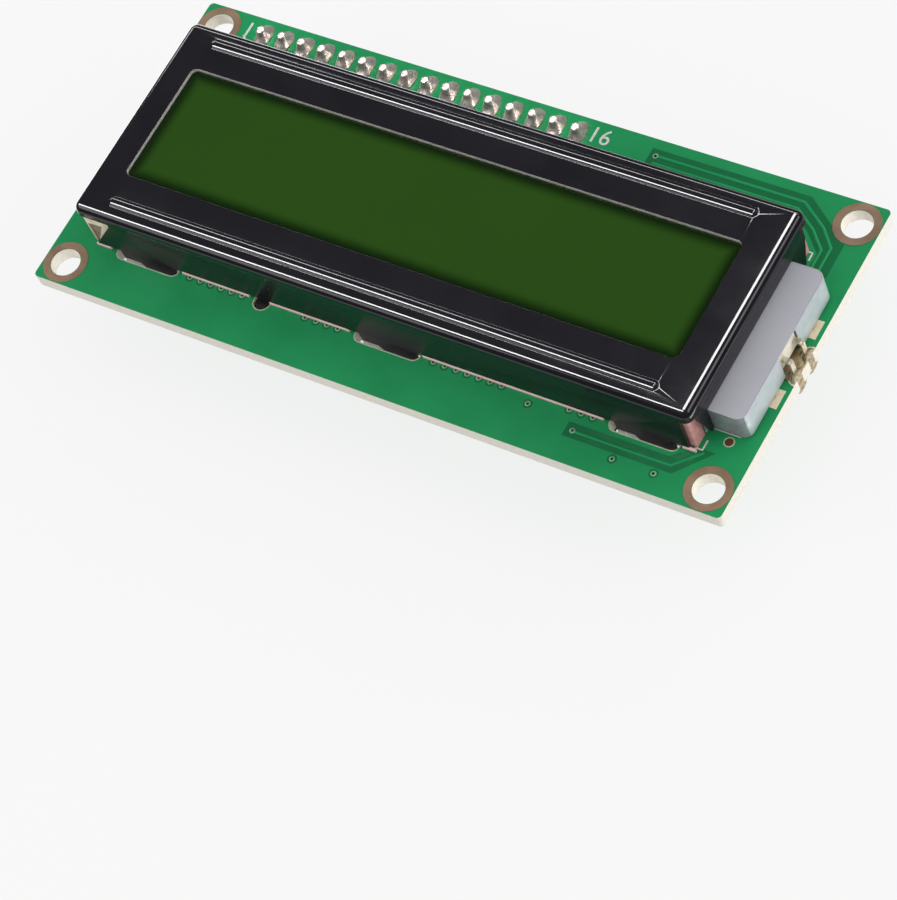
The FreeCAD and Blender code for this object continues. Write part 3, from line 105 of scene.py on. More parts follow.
# %% Camera
VIEW_AZIMUTH = math.radians(53.11)
VIEW_ELEVATION = math.radians(55.01)
VIEW_LEAN = math.radians(27.7)
VIEW_DISTANCE = 362.97 * MM
VIEW_AIM = mm(11.78, -20.65, 0)
VIEW_LENS = 153.13


def direction(azimuth, elevation):
    """Unit vector from the module towards an azimuth (0 is -Y, 90 is +X) and elevation."""
    level = math.cos(elevation)
    return Vector((math.sin(azimuth) * level, -math.cos(azimuth) * level, math.sin(elevation)))


def make_camera():
    camera = bpy.data.objects.new("camera", bpy.data.cameras.new("camera"))
    bpy.context.scene.collection.objects.link(camera)
    camera.data.lens = VIEW_LENS
    back = direction(VIEW_AZIMUTH, VIEW_ELEVATION)
    turn = (-back).to_track_quat("-Z", "Y") @ Quaternion((0, 0, 1), -VIEW_LEAN)
    camera.matrix_world = Matrix.Translation(VIEW_AIM + back * VIEW_DISTANCE) @ turn.to_matrix().to_4x4()
    camera.data.clip_start = 0.01
    bpy.context.scene.camera = camera
    return camera


print("camera at mm", [round(v / MM, 1) for v in make_camera().location])

# %% [markdown]
# Every finish, the surround and the geometry trees are networks of nodes. Wired one by one they
# would fill pages, so a few helpers say the same in one line each: a new node, a sum, a mix of two
# values, and a value carried from one range to another.

# %% Helpers for node trees
RANGE_LIMITS = ("From Min", "From Max", "To Min", "To Max")


def add_node(tree, kind, place=(0, 0), **settings):
    """New node of that kind with some of its settings."""
    node = tree.nodes.new(kind)
    node.location = place
    for name, value in settings.items():
        setattr(node, name, value)
    return node


def feed(tree, socket, value):
    """Links another node's output to the socket, or sets the socket to a plain value."""
    if isinstance(value, bpy.types.NodeSocket):
        tree.links.new(value, socket)
    else:
        socket.default_value = value


def maths(tree, operation, first, second, clamp=False):
    """Two numbers or sockets through a Math node."""
    node = add_node(tree, "ShaderNodeMath", operation=operation, use_clamp=clamp)
    feed(tree, node.inputs[0], first)
    feed(tree, node.inputs[1], second)
    return node.outputs[0]


def blend(tree, kind, factor, low, high, label=""):
    """Mix of two numbers or colours: low where the factor is 0 and high where it is 1."""
    node = add_node(tree, "ShaderNodeMix", data_type=kind, label=label)
    tree.links.new(factor, node.inputs["Factor"])
    feed(tree, node.inputs["A"], low)
    feed(tree, node.inputs["B"], high)
    return node.outputs["Result"]


def ramp(tree, value, limits=(), kind="SMOOTHSTEP"):
    """Soft step; limits are the low and high end of the value and of the result, or 0 and 1."""
    node = add_node(tree, "ShaderNodeMapRange", interpolation_type=kind)
    for name, limit in zip(RANGE_LIMITS, limits):
        node.inputs[name].default_value = limit
    tree.links.new(value, node.inputs["Value"])
    return node.outputs["Result"]


def coordinates(tree, kind="Object"):
    """X, Y and Z of the place on the piece, or of another texture coordinate, as sockets."""
    coords = add_node(tree, "ShaderNodeTexCoord")
    parts = add_node(tree, "ShaderNodeSeparateXYZ")
    tree.links.new(coords.outputs[kind], parts.inputs["Vector"])
    return parts.outputs


print("helpers for nodes", [f.__name__ for f in (add_node, feed, maths, blend, ramp, coordinates)])

# %% [markdown]
# Studio light, first the surround. Glossy black enamel is seen almost only by what it mirrors. A
# picture of a studio could be wrapped round the scene, but three soft bands of grey do the same and
# can be tuned: reflections see dark from the horizon upwards, which keeps the flat top black, pale
# where the table lies beyond the module, and dark again right below it.

# %% Surround
AMBIENT = 0.6
OVERHEAD = 0.2
HORIZON = 0.12
TABLE = 0.6
SKY_BAND = (0.2, 0.7)
TABLE_BAND = (-0.42, -0.3)
UNDER_BAND = (-0.74, -0.62)


def make_world():
    world = bpy.data.worlds.new("studio")
    world.use_nodes = True
    tree = world.node_tree
    bpy.context.scene.world = world
    rays = add_node(tree, "ShaderNodeLightPath").outputs
    height = coordinates(tree, "Generated")["Z"]
    sky = ramp(tree, height, (*SKY_BAND, HORIZON, OVERHEAD))
    table, under = [ramp(tree, height, (*band, TABLE, 0.0)) for band in (TABLE_BAND, UNDER_BAND)]
    mirrored = maths(tree, "ADD", sky, maths(tree, "SUBTRACT", table, under))
    level = blend(tree, "FLOAT", rays["Is Glossy Ray"], AMBIENT, mirrored, "reflections")
    level = blend(tree, "FLOAT", rays["Is Transmission Ray"], level, 1.0, "seen through glass")
    level = blend(tree, "FLOAT", rays["Is Camera Ray"], level, 1.0, "background")
    tree.links.new(level, tree.nodes["Background"].inputs["Strength"])
    tree.nodes["Background"].inputs["Color"].default_value = (1, 1, 1, 1)
    return world


print("surround with", len(make_world().node_tree.nodes), "nodes")

# %% [markdown]
# Then the lamps. Large soft boxes light the module evenly from both sides, from behind and from
# below. The bright lines along the bezel's bends are mirror images of narrow windows, so they are
# made the same way: a thin lamp hangs where each bend mirrors it to the camera, and it adds no
# light to dull surfaces.

# %% Lamps
STRIP_DISTANCE = 0.7


def soft_box(name, azimuth, elevation, distance, width, height, power):
    """Area lamp that faces the module."""
    lamp = bpy.data.lights.new(name, "AREA")
    lamp.shape = "RECTANGLE"
    lamp.size = width
    lamp.size_y = height
    lamp.energy = power
    box = bpy.data.objects.new(name, lamp)
    bpy.context.scene.collection.objects.link(box)
    back = direction(math.radians(azimuth), math.radians(elevation))
    box.rotation_mode = "QUATERNION"
    box.rotation_quaternion = (-back).to_track_quat("-Z", "Y")
    box.location = back * distance
    return box


def strip_light(name, reflected, long_axis, length, width, power):
    """Thin lamp in the direction a bend mirrors to the camera, so it draws one line there."""
    back = Vector(reflected).normalized()
    along = (Vector(long_axis) - back * back.dot(Vector(long_axis))).normalized()
    across = back.cross(along)
    strip = soft_box(name, 0, 0, 0, length, width, power)
    strip.rotation_quaternion = Matrix((along, across, back)).transposed().to_quaternion()
    strip.location = back * STRIP_DISTANCE
    strip.visible_diffuse = False
    return strip


soft_box("key_box", 112, 33, 1.2, 0.8, 0.42, 3.0)
soft_box("fill_box", -48, 30, 0.7, 0.45, 0.3, 1.0)
soft_box("rear_box", 170, 32, 0.7, 0.5, 0.2, 0.6)
STRIPS = [
    strip_light("front_bend_strip", (-0.459, -0.322, 0.827), (1, 0, 0), 0.9, 0.13, 11.0),
    strip_light("right_bend_strip", (-0.03, 0.344, 0.94), (0, 1, 0), 0.6, 0.3, 14.0),
    strip_light("rear_bend_strip", (-0.459, 0.708, 0.537), (1, 0, 0), 0.9, 0.08, 3.0),
]
soft_box("under_left_box", 95, -40, 0.6, 0.4, 0.3, 1.4)
soft_box("under_right_box", -125, -40, 0.6, 0.4, 0.3, 1.2)

# %% [markdown]
# Finishes. Nearly every real surface has small drifts of colour, uneven gloss and a fine relief.
# One shader group makes all three from noise on object coordinates, so a finish is that group with
# its own values. What is the same all over a surface, such as how metallic it is, is set straight
# on the shader.

# %% Shader group for uneven surfaces
def srgb(red, green, blue):
    """Colour as a picture holds it, from 0 to 255, turned into linear light."""
    def linear(value):
        value /= 255
        return value / 12.92 if value <= 0.04045 else ((value + 0.055) / 1.055) ** 2.4
    return (linear(red), linear(green), linear(blue), 1.0)


PLAIN_INPUTS = ("Patch", "Amount", "Roughness", "Spread", "Grain", "Relief")
GROUP_INPUTS = (("Base", "Color"), ("Tint", "Color"), *((name, "Float") for name in PLAIN_INPUTS),
                ("Stretch", "Vector"))
GROUP_OUTPUTS = (("Color", "Color"), ("Roughness", "Float"), ("Normal", "Vector"))
PATCH_EDGES = (0.35, 0.65)
PATCH_DETAIL = 4.0
GRAIN_DETAIL = 3.0


def add_sockets(tree, in_out, sockets):
    """Named inputs or outputs of a group, from (name, kind) pairs."""
    for name, kind in sockets:
        tree.interface.new_socket(name, in_out=in_out, socket_type="NodeSocket" + kind)


def make_uneven_group():
    tree = bpy.data.node_groups.new("uneven_surface", "ShaderNodeTree")
    add_sockets(tree, "INPUT", GROUP_INPUTS)
    add_sockets(tree, "OUTPUT", GROUP_OUTPUTS)
    given = add_node(tree, "NodeGroupInput").outputs
    result = add_node(tree, "NodeGroupOutput").inputs
    coords = add_node(tree, "ShaderNodeTexCoord")
    stretch = add_node(tree, "ShaderNodeVectorMath", operation="MULTIPLY")
    tree.links.new(coords.outputs["Object"], stretch.inputs[0])
    tree.links.new(given["Stretch"], stretch.inputs[1])

    def noise(size, detail):
        node = add_node(tree, "ShaderNodeTexNoise")
        node.inputs["Detail"].default_value = detail
        tree.links.new(stretch.outputs[0], node.inputs["Vector"])
        tree.links.new(maths(tree, "DIVIDE", 1 / MM, size), node.inputs["Scale"])
        return node.outputs["Fac"]

    patches = ramp(tree, noise(given["Patch"], PATCH_DETAIL), PATCH_EDGES)
    share = maths(tree, "MULTIPLY", patches, given["Amount"])
    tree.links.new(blend(tree, "RGBA", share, given["Base"], given["Tint"]), result["Color"])
    grain = noise(given["Grain"], GRAIN_DETAIL)
    drift = maths(tree, "MULTIPLY", maths(tree, "SUBTRACT", grain, 0.5), given["Spread"])
    drift = maths(tree, "ADD", drift, maths(tree, "MULTIPLY", share, given["Spread"]))
    tree.links.new(maths(tree, "ADD", given["Roughness"], drift, True), result["Roughness"])
    bump = add_node(tree, "ShaderNodeBump")
    tree.links.new(maths(tree, "MULTIPLY", given["Relief"], MM), bump.inputs["Distance"])
    tree.links.new(grain, bump.inputs["Height"])
    tree.links.new(bump.outputs["Normal"], result["Normal"])
    return tree


UNEVEN = make_uneven_group()
print("group", UNEVEN.name, "with", len(GROUP_INPUTS), "inputs")

# %% [markdown]
# With the group in hand, a finish is one call. Patch and grain are in millimetres: patch is how
# wide the colour drifts are, grain how wide the fine relief is, and relief is how deep it goes.

# %% One function for every finish
def make_finish(name, base, tint, roughness, patch=2.0, amount=0.6, spread=0.12, grain=0.15,
                relief=0.0, stretch=(1, 1, 1), **plain):
    """Material from the uneven surface group; plain holds values set on the shader itself."""
    material = bpy.data.materials.new(name)
    material.use_nodes = True
    tree = material.node_tree
    shader = tree.nodes["Principled BSDF"]
    group = add_node(tree, "ShaderNodeGroup", (-300, 0), node_tree=UNEVEN)
    values = (srgb(*base), srgb(*tint), patch, amount, roughness, spread, grain, relief, stretch)
    for (label, _), value in zip(GROUP_INPUTS, values):
        group.inputs[label].default_value = value
    for (label, _), target in zip(GROUP_OUTPUTS, ("Base Color", "Roughness", "Normal")):
        tree.links.new(group.outputs[label], shader.inputs[target])
    for label, value in plain.items():
        shader.inputs[label.replace("_", " ")].default_value = value
    return material


print("a finish takes", [label for label, _ in GROUP_INPUTS])

# %% [markdown]
# Boards. Solder mask is a glossy lacquer. Over bare fibre glass it looks dark, over copper lighter,
# so the copper lines and the dark strips beside them are three greens of one lacquer. The sawn edge
# of the board is dull and cream, because there the glass and resin show.

# %% Board finishes
GREEN_MASK = make_finish("green_mask", (40, 163, 99), (33, 151, 90), 0.3, patch=9, amount=0.7,
                         grain=0.6, relief=0.004, Specular_IOR_Level=0.16)
GREEN_DARK = make_finish("green_mask_over_glass", (22, 124, 74), (17, 113, 67), 0.32, patch=4,
                         grain=0.6, relief=0.004, Specular_IOR_Level=0.25)
GREEN_TRACE = make_finish("green_mask_over_trace", (52, 174, 108), (44, 163, 100), 0.28, patch=3,
                          grain=0.4, relief=0.003, Specular_IOR_Level=0.3)
VIA_RIM = make_finish("via_rim", (150, 200, 160), (96, 172, 118), 0.3, patch=0.6, amount=0.9,
                      grain=0.2, relief=0.004, Specular_IOR_Level=0.4)
BLACK_MASK = make_finish("black_mask", (24, 24, 32), (17, 17, 24), 0.36, patch=5, amount=0.8,
                         grain=0.5, relief=0.004, Specular_IOR_Level=0.35)
BOARD_EDGE = make_finish("sawn_board_edge", (250, 246, 236), (230, 224, 210), 0.75, patch=0.5,
                         grain=0.08, relief=0.02, stretch=(1, 1, 4))
WHITE_PRINT = make_finish("white_print", (236, 238, 234), (214, 222, 214), 0.6, patch=0.5,
                          amount=0.5, grain=0.08, relief=0.01)
GREY_PRINT = make_finish("faint_print", (150, 152, 158), (128, 130, 138), 0.6, patch=0.4,
                         grain=0.08, relief=0.01)
print("board finishes", GREEN_MASK.name, BLACK_MASK.name)

# %% [markdown]
# Metals. Bare copper on a board is brown and dull from its protective film. Solder freezes bright
# with a faint grain. Pins are drawn and plated, so their grain runs along them.

# %% Metal finishes
BARE_COPPER = make_finish("bare_copper", (170, 140, 114), (138, 108, 86), 0.42, patch=2.4, amount=0.6,
                          grain=0.12, relief=0.004, Metallic=0.1)
PAD_COPPER = make_finish("pad_copper", (152, 102, 68), (112, 72, 48), 0.4, patch=2.0, amount=0.7,
                         grain=0.12, relief=0.004, Metallic=0.5)
GILT = make_finish("gilt", (255, 244, 214), (255, 224, 178), 0.6, patch=0.5, grain=0.1, relief=0.004)
SOLDER = make_finish("solder", (218, 209, 204), (150, 134, 124), 0.27, patch=0.45, amount=0.6,
                     spread=0.25, grain=0.3, relief=0.014, Metallic=0.8)
LAMP_SOLDER = make_finish("lamp_solder", (222, 208, 180), (150, 128, 98), 0.28, patch=0.5, amount=0.9,
                          spread=0.1, grain=0.3, relief=0.006, Metallic=0.75)
LEAD_TIN = make_finish("lead_tin", (232, 222, 202), (170, 150, 118), 0.3, patch=0.3, amount=0.7,
                       spread=0.2, grain=0.1, relief=0.008, Metallic=0.7)
TINNED = make_finish("tinned_pad", (202, 204, 208), (146, 148, 154), 0.35, patch=0.3, amount=0.7,
                     grain=0.1, relief=0.01, Metallic=0.6)
TIN_ENDS = make_finish("tin_ends", (240, 240, 242), (190, 190, 195), 0.3, patch=0.25, amount=0.6,
                       grain=0.08, relief=0.008, Metallic=0.45)
PIN_METAL = make_finish("pin_metal", (190, 168, 160), (138, 116, 110), 0.26, patch=0.5, amount=0.6,
                        grain=0.12, relief=0.006, stretch=(0.15, 1, 1), Metallic=1.0)
CHIP_LEAD = make_finish("chip_lead", (242, 242, 245), (188, 189, 196), 0.26, patch=0.3, amount=0.6,
                        grain=0.1, relief=0.006, Metallic=0.45)
ROTOR_METAL = make_finish("rotor_metal", (244, 226, 206), (196, 170, 150), 0.3, patch=0.4,
                          amount=0.7, grain=0.08, relief=0.01, Metallic=0.45)
ROTOR_SHADE = make_finish("rotor_slot_shade", (70, 56, 48), (44, 36, 32), 0.5, patch=0.4, grain=0.08,
                          relief=0.01)
RING_BACK = make_finish("ring_back", (142, 98, 72), (112, 76, 56), 0.42, patch=2.0, amount=0.7,
                        grain=0.12, relief=0.004, Metallic=0.3)
print("metal finishes", SOLDER.name, PIN_METAL.name)

# %% [markdown]
# The bezel is pressed steel under stoved black enamel, smooth enough to mirror the surround. It is
# duller down the walls, where the spray reached less, so the roughness follows the height. Only the
# window's punched edge shows bare steel, made pale partly as a painted highlight along it. The pale
# finish in the tongues' slots is a painted highlight, for light from below seen through them.

# %% Enamel and bare steel
ENAMEL_TOP = 0.09
ENAMEL_WALL = 0.3
DULL_BELOW = 2.2
GLOSSY_ABOVE = 1.3


def make_enamel(name):
    """Black enamel that is smooth on the top and the bends and duller down the walls."""
    material = make_finish(name, (18, 16, 24), (24, 22, 30), ENAMEL_TOP, patch=7, amount=0.6,
                           spread=0.04, grain=0.9, relief=0.003, Specular_IOR_Level=0.5)
    tree = material.node_tree
    given = tree.nodes["Principled BSDF"].inputs["Roughness"]
    top = cad_box[1].z
    levels = (top - DULL_BELOW * MM, top - GLOSSY_ABOVE * MM)
    wall = ramp(tree, coordinates(tree)["Z"], (*levels, ENAMEL_WALL - ENAMEL_TOP, 0.0))
    uneven = given.links[0].from_socket
    tree.links.new(maths(tree, "ADD", uneven, wall, True), given)
    return material


BLACK_ENAMEL = make_enamel("black_enamel")
# Bare steel of the punched edge, made pale and little metallic, so that part of its colour is a painted
# highlight.
SHEARED_STEEL_AND_HIGHLIGHT = make_finish("sheared_steel_and_highlight", (216, 212, 202), (172, 170, 164), 0.35, patch=0.4,
                            grain=0.1, relief=0.006, stretch=(1, 1, 0.2), Metallic=0.25)
# A pale finish that is a painted highlight, for light from below seen through the tongues' slots.
PAINTED_SLOT_HIGHLIGHT = make_finish("slot_highlight_painted", (250, 250, 244), (206, 208, 200), 0.4, patch=0.5,
                           amount=0.7, grain=0.1, relief=0.004)
print("bezel finishes", BLACK_ENAMEL.name, SHEARED_STEEL_AND_HIGHLIGHT.name, PAINTED_SLOT_HIGHLIGHT.name)

# %% [markdown]
# Moulded parts are duller than enamel and faintly pebbled, each by its own tool: headers and chips
# are nearly black, the jumper cap is a little greyer, the trimmer is blue. Poured resin and the
# resistors' glaze are glossy, because they set or melted smooth.

# %% Moulded, poured and fired finishes
DARK_MOULDING = make_finish("black_moulding", (30, 29, 31), (22, 21, 23), 0.42, patch=0.8,
                            grain=0.12, relief=0.012)
CHIP_BLACK = make_finish("chip_moulding", (50, 50, 54), (38, 38, 42), 0.5, patch=0.6, amount=0.7,
                         grain=0.09, relief=0.02)
CAP_GREY = make_finish("cap_moulding", (58, 56, 60), (44, 42, 46), 0.5, patch=0.9, grain=0.15,
                       relief=0.014)
RESIN_BLACK = make_finish("poured_resin", (14, 13, 15), (24, 22, 24), 0.14, patch=1.6, amount=0.5,
                          spread=0.2, grain=0.25, relief=0.016)
RESISTOR_BLACK = make_finish("resistor_glaze", (26, 25, 28), (16, 15, 18), 0.25, patch=0.4,
                             grain=0.1, relief=0.004)
TRIMMER_BLUE = make_finish("trimmer_blue", (46, 138, 222), (36, 122, 206), 0.38, patch=1.4,
                           grain=0.2, relief=0.008, Subsurface_Weight=0.05)
CAPACITOR_TAN = make_finish("capacitor_tan", (206, 172, 116), (184, 148, 96), 0.5, patch=0.3,
                            grain=0.06, relief=0.006)
LENS = make_finish("light_lens", (238, 238, 226), (222, 222, 204), 0.25, patch=0.4, grain=0.1,
                   relief=0.004, Subsurface_Weight=0.2)
TICK_BLUE = make_finish("tick_blue", (24, 72, 132), (18, 60, 116), 0.5, patch=0.6, grain=0.1)
print("moulded finishes", DARK_MOULDING.name, TRIMMER_BLUE.name)

# %% [markdown]
# The display is a pile of films and glass on a clear block that spreads the lamp's light. Clear
# parts could be pure glass, but from outside they look like pale blocks, so each is a pale body
# that lets a share of the light through. The pink rubber strips carry the signals to the glass.

# %% Films, glass, rubber and resin
# Rubber of the bulge, paler than the strip, partly as a painted highlight.
BULGE_PINK_AND_HIGHLIGHT = make_finish("zebra_bulge_and_highlight", (255, 222, 220), (252, 196, 196), 0.5, patch=0.9,
                         spread=0.08, grain=0.2, relief=0.006)
ZEBRA_PINK = make_finish("zebra_rubber", (255, 184, 182), (246, 154, 156), 0.5, patch=0.6,
                         grain=0.12, relief=0.01, stretch=(0.2, 1, 1), Subsurface_Weight=0.1)
FILM_WHITE = make_finish("white_film", (236, 237, 236), (222, 224, 224), 0.55, patch=1.5, grain=0.2)
FILM_GREY = make_finish("grey_film", (196, 196, 205), (189, 189, 199), 0.42, patch=5, amount=0.5,
                        grain=0.25, relief=0.004, Specular_IOR_Level=0.4)
LAMP_WHITE = make_finish("lamp_white", (236, 232, 214), (222, 214, 186), 0.5, patch=0.5, grain=0.1)
GLASS_EDGE = make_finish("cell_glass", (226, 222, 206), (196, 188, 168), 0.12, patch=0.8,
                         grain=0.3, relief=0.01, Transmission_Weight=0.3, IOR=1.5)
GUIDE_CLEAR = make_finish("clear_guide", (232, 242, 244), (206, 222, 228), 0.16, patch=1.2,
                          grain=0.3, relief=0.01, Transmission_Weight=0.3, IOR=1.49)
GUIDE_SHADE = make_finish("guide_end_in_shade", (150, 156, 160), (116, 120, 126), 0.2, patch=1.6,
                          grain=0.3, relief=0.01)
FILM_EDGE = make_finish("film_edge", (206, 206, 212), (186, 186, 194), 0.4, patch=0.8, grain=0.1)
# The open corner: cream strips with painted highlight, and a brown of painted shade behind them.
CORNER_PALE_AND_HIGHLIGHT = make_finish("pale_corner_and_highlight", (255, 242, 220), (226, 208, 184), 0.4, patch=0.9,
                          amount=0.8, grain=0.2, relief=0.01)
CORNER_SHADE = make_finish("shaded_corner", (168, 146, 128), (140, 118, 102), 0.5, patch=0.9,
                           amount=0.8, grain=0.2, relief=0.01)
BARE_LAMINATE = make_finish("bare_laminate", (214, 220, 192), (172, 184, 154), 0.6, patch=0.5,
                            grain=0.08, relief=0.006)
LAMP_RESIN = make_finish("lamp_resin", (238, 216, 172), (208, 172, 112), 0.1, patch=0.7, amount=0.8,
                         grain=0.3, relief=0.03, Transmission_Weight=0.55, IOR=1.5)
print("display finishes", FILM_GREY.name, GUIDE_CLEAR.name)

# %% [markdown]
# The screen is a dim yellow-green film. Near the window's edge the bezel's shade deepens it, so
# the colour follows the distance from the edge, worked out from the window's own centre and size.

# %% Screen finish
WINDOW_CENTRE = mm(-0.55, -0.35, 0)
WINDOW_HALF = mm(31.95, 6.85, 0)
EDGE_SHADE = 1.9 * MM
SHADED_GREEN = (14, 38, 4)


def make_screen_finish():
    material = make_finish("screen_film", (45, 83, 22), (43, 80, 21), 0.32, patch=14, amount=0.5,
                           spread=0.04, grain=0.3, relief=0.001, Specular_IOR_Level=0.1)
    tree = material.node_tree
    shader = tree.nodes["Principled BSDF"]
    flat_colour = shader.inputs["Base Color"].links[0].from_socket
    place = coordinates(tree)
    gaps = []
    for axis in (0, 1):
        away = maths(tree, "SUBTRACT", place[axis], WINDOW_CENTRE[axis])
        gap = maths(tree, "SUBTRACT", WINDOW_HALF[axis], maths(tree, "ABSOLUTE", away, 0.0))
        gaps.append(maths(tree, "DIVIDE", gap, EDGE_SHADE, True))
    inside = ramp(tree, maths(tree, "MINIMUM", *gaps), kind="SMOOTHERSTEP")
    shade = blend(tree, "RGBA", inside, srgb(*SHADED_GREEN), flat_colour)
    tree.links.new(shade, shader.inputs["Base Color"])
    return material


SCREEN_FILM = make_screen_finish()
print("screen finish", SCREEN_FILM.name)

# %% [markdown]
# Solids from the frame are exact but their edges are knife sharp, and no real edge is. Each visible
# one gets a finished copy: the copy is merged, flat faces are joined, edges are rounded by a few
# hundredths of a millimetre and curved faces are shaded smooth. Drilled plates keep their triangles,
# because a face with holes in it can't be rounded cleanly as one.

# %% Clean copies of the frame's solids
MERGE_DISTANCE = 0.0002 * MM
FLAT_ENOUGH = math.radians(0.6)
SHARP = math.radians(30)
DRILLED = ("main_board", "adapter_board", "pin_spacer", "bezel")


def merged_solid(node):
    """A node's triangles with their doubles merged, as a mesh under edit."""
    shape = bmesh.new()
    shape.from_mesh(frame["nodes"][node].data)
    bmesh.ops.remove_doubles(shape, verts=shape.verts, dist=MERGE_DISTANCE)
    return shape


def to_mesh(name, shape):
    """Puts a mesh under edit away as a plain mesh."""
    mesh = bpy.data.meshes.new(name)
    shape.to_mesh(mesh)
    shape.free()
    return mesh


def merged_copy(node):
    """Clean mesh of a node: flat neighbours joined, edges marked sharp or smooth."""
    shape = merged_solid(node)
    if node not in DRILLED:
        bmesh.ops.dissolve_limit(shape, angle_limit=FLAT_ENOUGH, verts=shape.verts,
                                 edges=shape.edges)
    for face in shape.faces:
        face.smooth = True
    for edge in shape.edges:
        edge.smooth = edge.is_manifold and edge.calc_face_angle(0) < SHARP
    return to_mesh(node, shape)


def link_piece(name, mesh):
    piece = bpy.data.objects.new(name, mesh)
    bpy.context.scene.collection.objects.link(piece)
    return piece


def bake_modifiers(piece):
    """Turns what the modifiers make into the piece's own mesh, and drops them."""
    bpy.context.view_layer.update()
    graph = bpy.context.evaluated_depsgraph_get()
    mesh = bpy.data.meshes.new_from_object(piece.evaluated_get(graph))
    piece.modifiers.clear()
    piece.data = mesh
    return piece


print("drilled plates", DRILLED)

# %% [markdown]
# The copy replaces the plain solid, rides on the same body and stays in its place. Faces can take a
# second finish by where they look: that is how a board keeps its cream edge, and how the window's
# punched edge shows bare steel. The strip lights are linked to the bezel, and later to the front
# solder joints, so that no other surface shows their lines.

# %% Finished copies: boards, bezel and display
SIDE_FACE = 0.8
bodies_of_nodes = {n: b for b, ns in frame["record"]["behaviour"]["bodies"].items() for n in ns}


def second_finish(piece, material, chosen):
    """Gives the faces that chosen picks another finish."""
    piece.data.materials.append(material)
    for face in piece.data.polygons:
        face.material_index = int(chosen(face))


def finished_copy(node, material, rounding=0.05, side_material=None):
    """Replaces a node by its copy with rounded edges, in one finish or with another on its sides."""
    piece = link_piece(node + "_finished", merged_copy(node))
    if not rounding:
        for face in piece.data.polygons:
            face.use_smooth = abs(face.normal.z) < SIDE_FACE
    else:
        bevel = piece.modifiers.new("rounding", "BEVEL")
        bevel.width = rounding * MM
        bevel.segments = 2
        bevel.limit_method = "ANGLE"
        bevel.angle_limit = SHARP
        bevel.harden_normals = True
        bevel.use_clamp_overlap = node not in DRILLED
        bevel.miter_outer = "MITER_ARC"
        bake_modifiers(piece)
    piece.data.materials.clear()
    piece.data.materials.append(material)
    if side_material:
        second_finish(piece, side_material, lambda face: abs(face.normal.z) <= SIDE_FACE)
    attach(piece, bodies_of_nodes[node])
    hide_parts(node)
    return piece


def in_window_edge(face):
    """True for the upright faces of the bezel's punched window."""
    gap = [abs(face.center[k] - WINDOW_CENTRE[k]) - WINDOW_HALF[k] for k in (0, 1)]
    high_up = face.center.z > cad_box[1].z - 0.8 * MM
    return abs(face.normal.z) < SIDE_FACE and max(gap) < 0.1 * MM and high_up


finished_copy("main_board", GREEN_MASK, 0, BOARD_EDGE)
finished_copy("adapter_board", BLACK_MASK, 0, BOARD_EDGE)
enamelled = finished_copy("bezel", BLACK_ENAMEL, 0.05)
# The window's punched edge: bare steel with a painted highlight in its pale colour.
second_finish(enamelled, SHEARED_STEEL_AND_HIGHLIGHT, in_window_edge)
lit_by_strips = bpy.data.collections.new("lit_by_strips")
lit_by_strips.objects.link(enamelled)
for strip in STRIPS:
    strip.light_linking.receiver_collection = lit_by_strips
finished_copy("front_polarizer", SCREEN_FILM, 0.02)
for plate in ("front_glass", "rear_glass"):
    finished_copy(plate, GLASS_EDGE, 0.05)
for strip in ("upper_zebra_strip", "lower_zebra_strip"):
    finished_copy(strip, ZEBRA_PINK, 0.08)
guide = finished_copy("light_guide", GUIDE_CLEAR, 0.08)
second_finish(guide, GUIDE_SHADE, lambda face: face.normal.y < -0.5)
finished_copy("light_guide_film", FILM_GREY, 0.02)
finished_copy("backlight_led", LAMP_WHITE, 0.06)
finished_copy("backlight_leads", LEAD_TIN, 0.03)

# %% [markdown]
# The small moulded and plated parts take the same treatment in one list: which node, which slot of
# the record it belongs to, its finish, and how far its edges are rounded, in millimetres.

# %% Small parts
SMALL_PARTS = (
    ("pin_spacer", "moulding_black", DARK_MOULDING, 0.05),
    ("bus_header_block", "moulding_black", DARK_MOULDING, 0.06),
    ("jumper_header_block", "moulding_black", DARK_MOULDING, 0.06),
    ("expander_chip", "chip_black", CHIP_BLACK, 0.06),
    ("expander_leads", "tin", CHIP_LEAD, 0.03),
    ("transistor_body", "chip_black", CHIP_BLACK, 0.04),
    ("transistor_leads", "tin", CHIP_LEAD, 0.02),
    ("trimmer_body", "trimmer_blue", TRIMMER_BLUE, 0.07),
    ("trimmer_rotor", "rotor_metal", ROTOR_METAL, 0.05),
    ("jumper_cap", "cap_grey", CAP_GREY, 0.06),
    ("jumper_clip", "pin_metal", TIN_ENDS, 0.03),
    ("display_pins", "pin_metal", PIN_METAL, 0.06),
    ("bus_header_pins", "pin_metal", PIN_METAL, 0.08),
    ("jumper_header_pins", "pin_metal", PIN_METAL, 0.08),
    ("power_light", "lens_clear", LENS, 0.04),
    ("capacitor_body", "capacitor_tan", CAPACITOR_TAN, 0.06),
    ("adapter_resistor_bodies", "ceramic_black", RESISTOR_BLACK, 0.03),
    ("board_resistor_bodies", "ceramic_black", RESISTOR_BLACK, 0.03),
    ("adapter_resistor_ends", "tin", TIN_ENDS, 0.06),
    ("board_resistor_ends", "tin", TIN_ENDS, 0.06),
    ("power_light_ends", "tin", TIN_ENDS, 0.06),
    ("capacitor_ends", "tin", TIN_ENDS, 0.06),
    ("mounting_rings", "bare_copper", BARE_COPPER, 0.01),
    ("tongue_pads", "bare_copper", PAD_COPPER, 0.01),
    ("empty_pads", "bare_copper", PAD_COPPER, 0.01),
    ("edge_solder", "tin", LAMP_SOLDER, 0.01),
    ("lamp_pads", "gilt", GILT, 0.01),
    ("edge_pads", "gilt", GILT, 0.01),
    ("adapter_pads", "tinned_pad", TINNED, 0.01),
    ("board_resistor_pads", "tinned_pad", TINNED, 0.01),
)
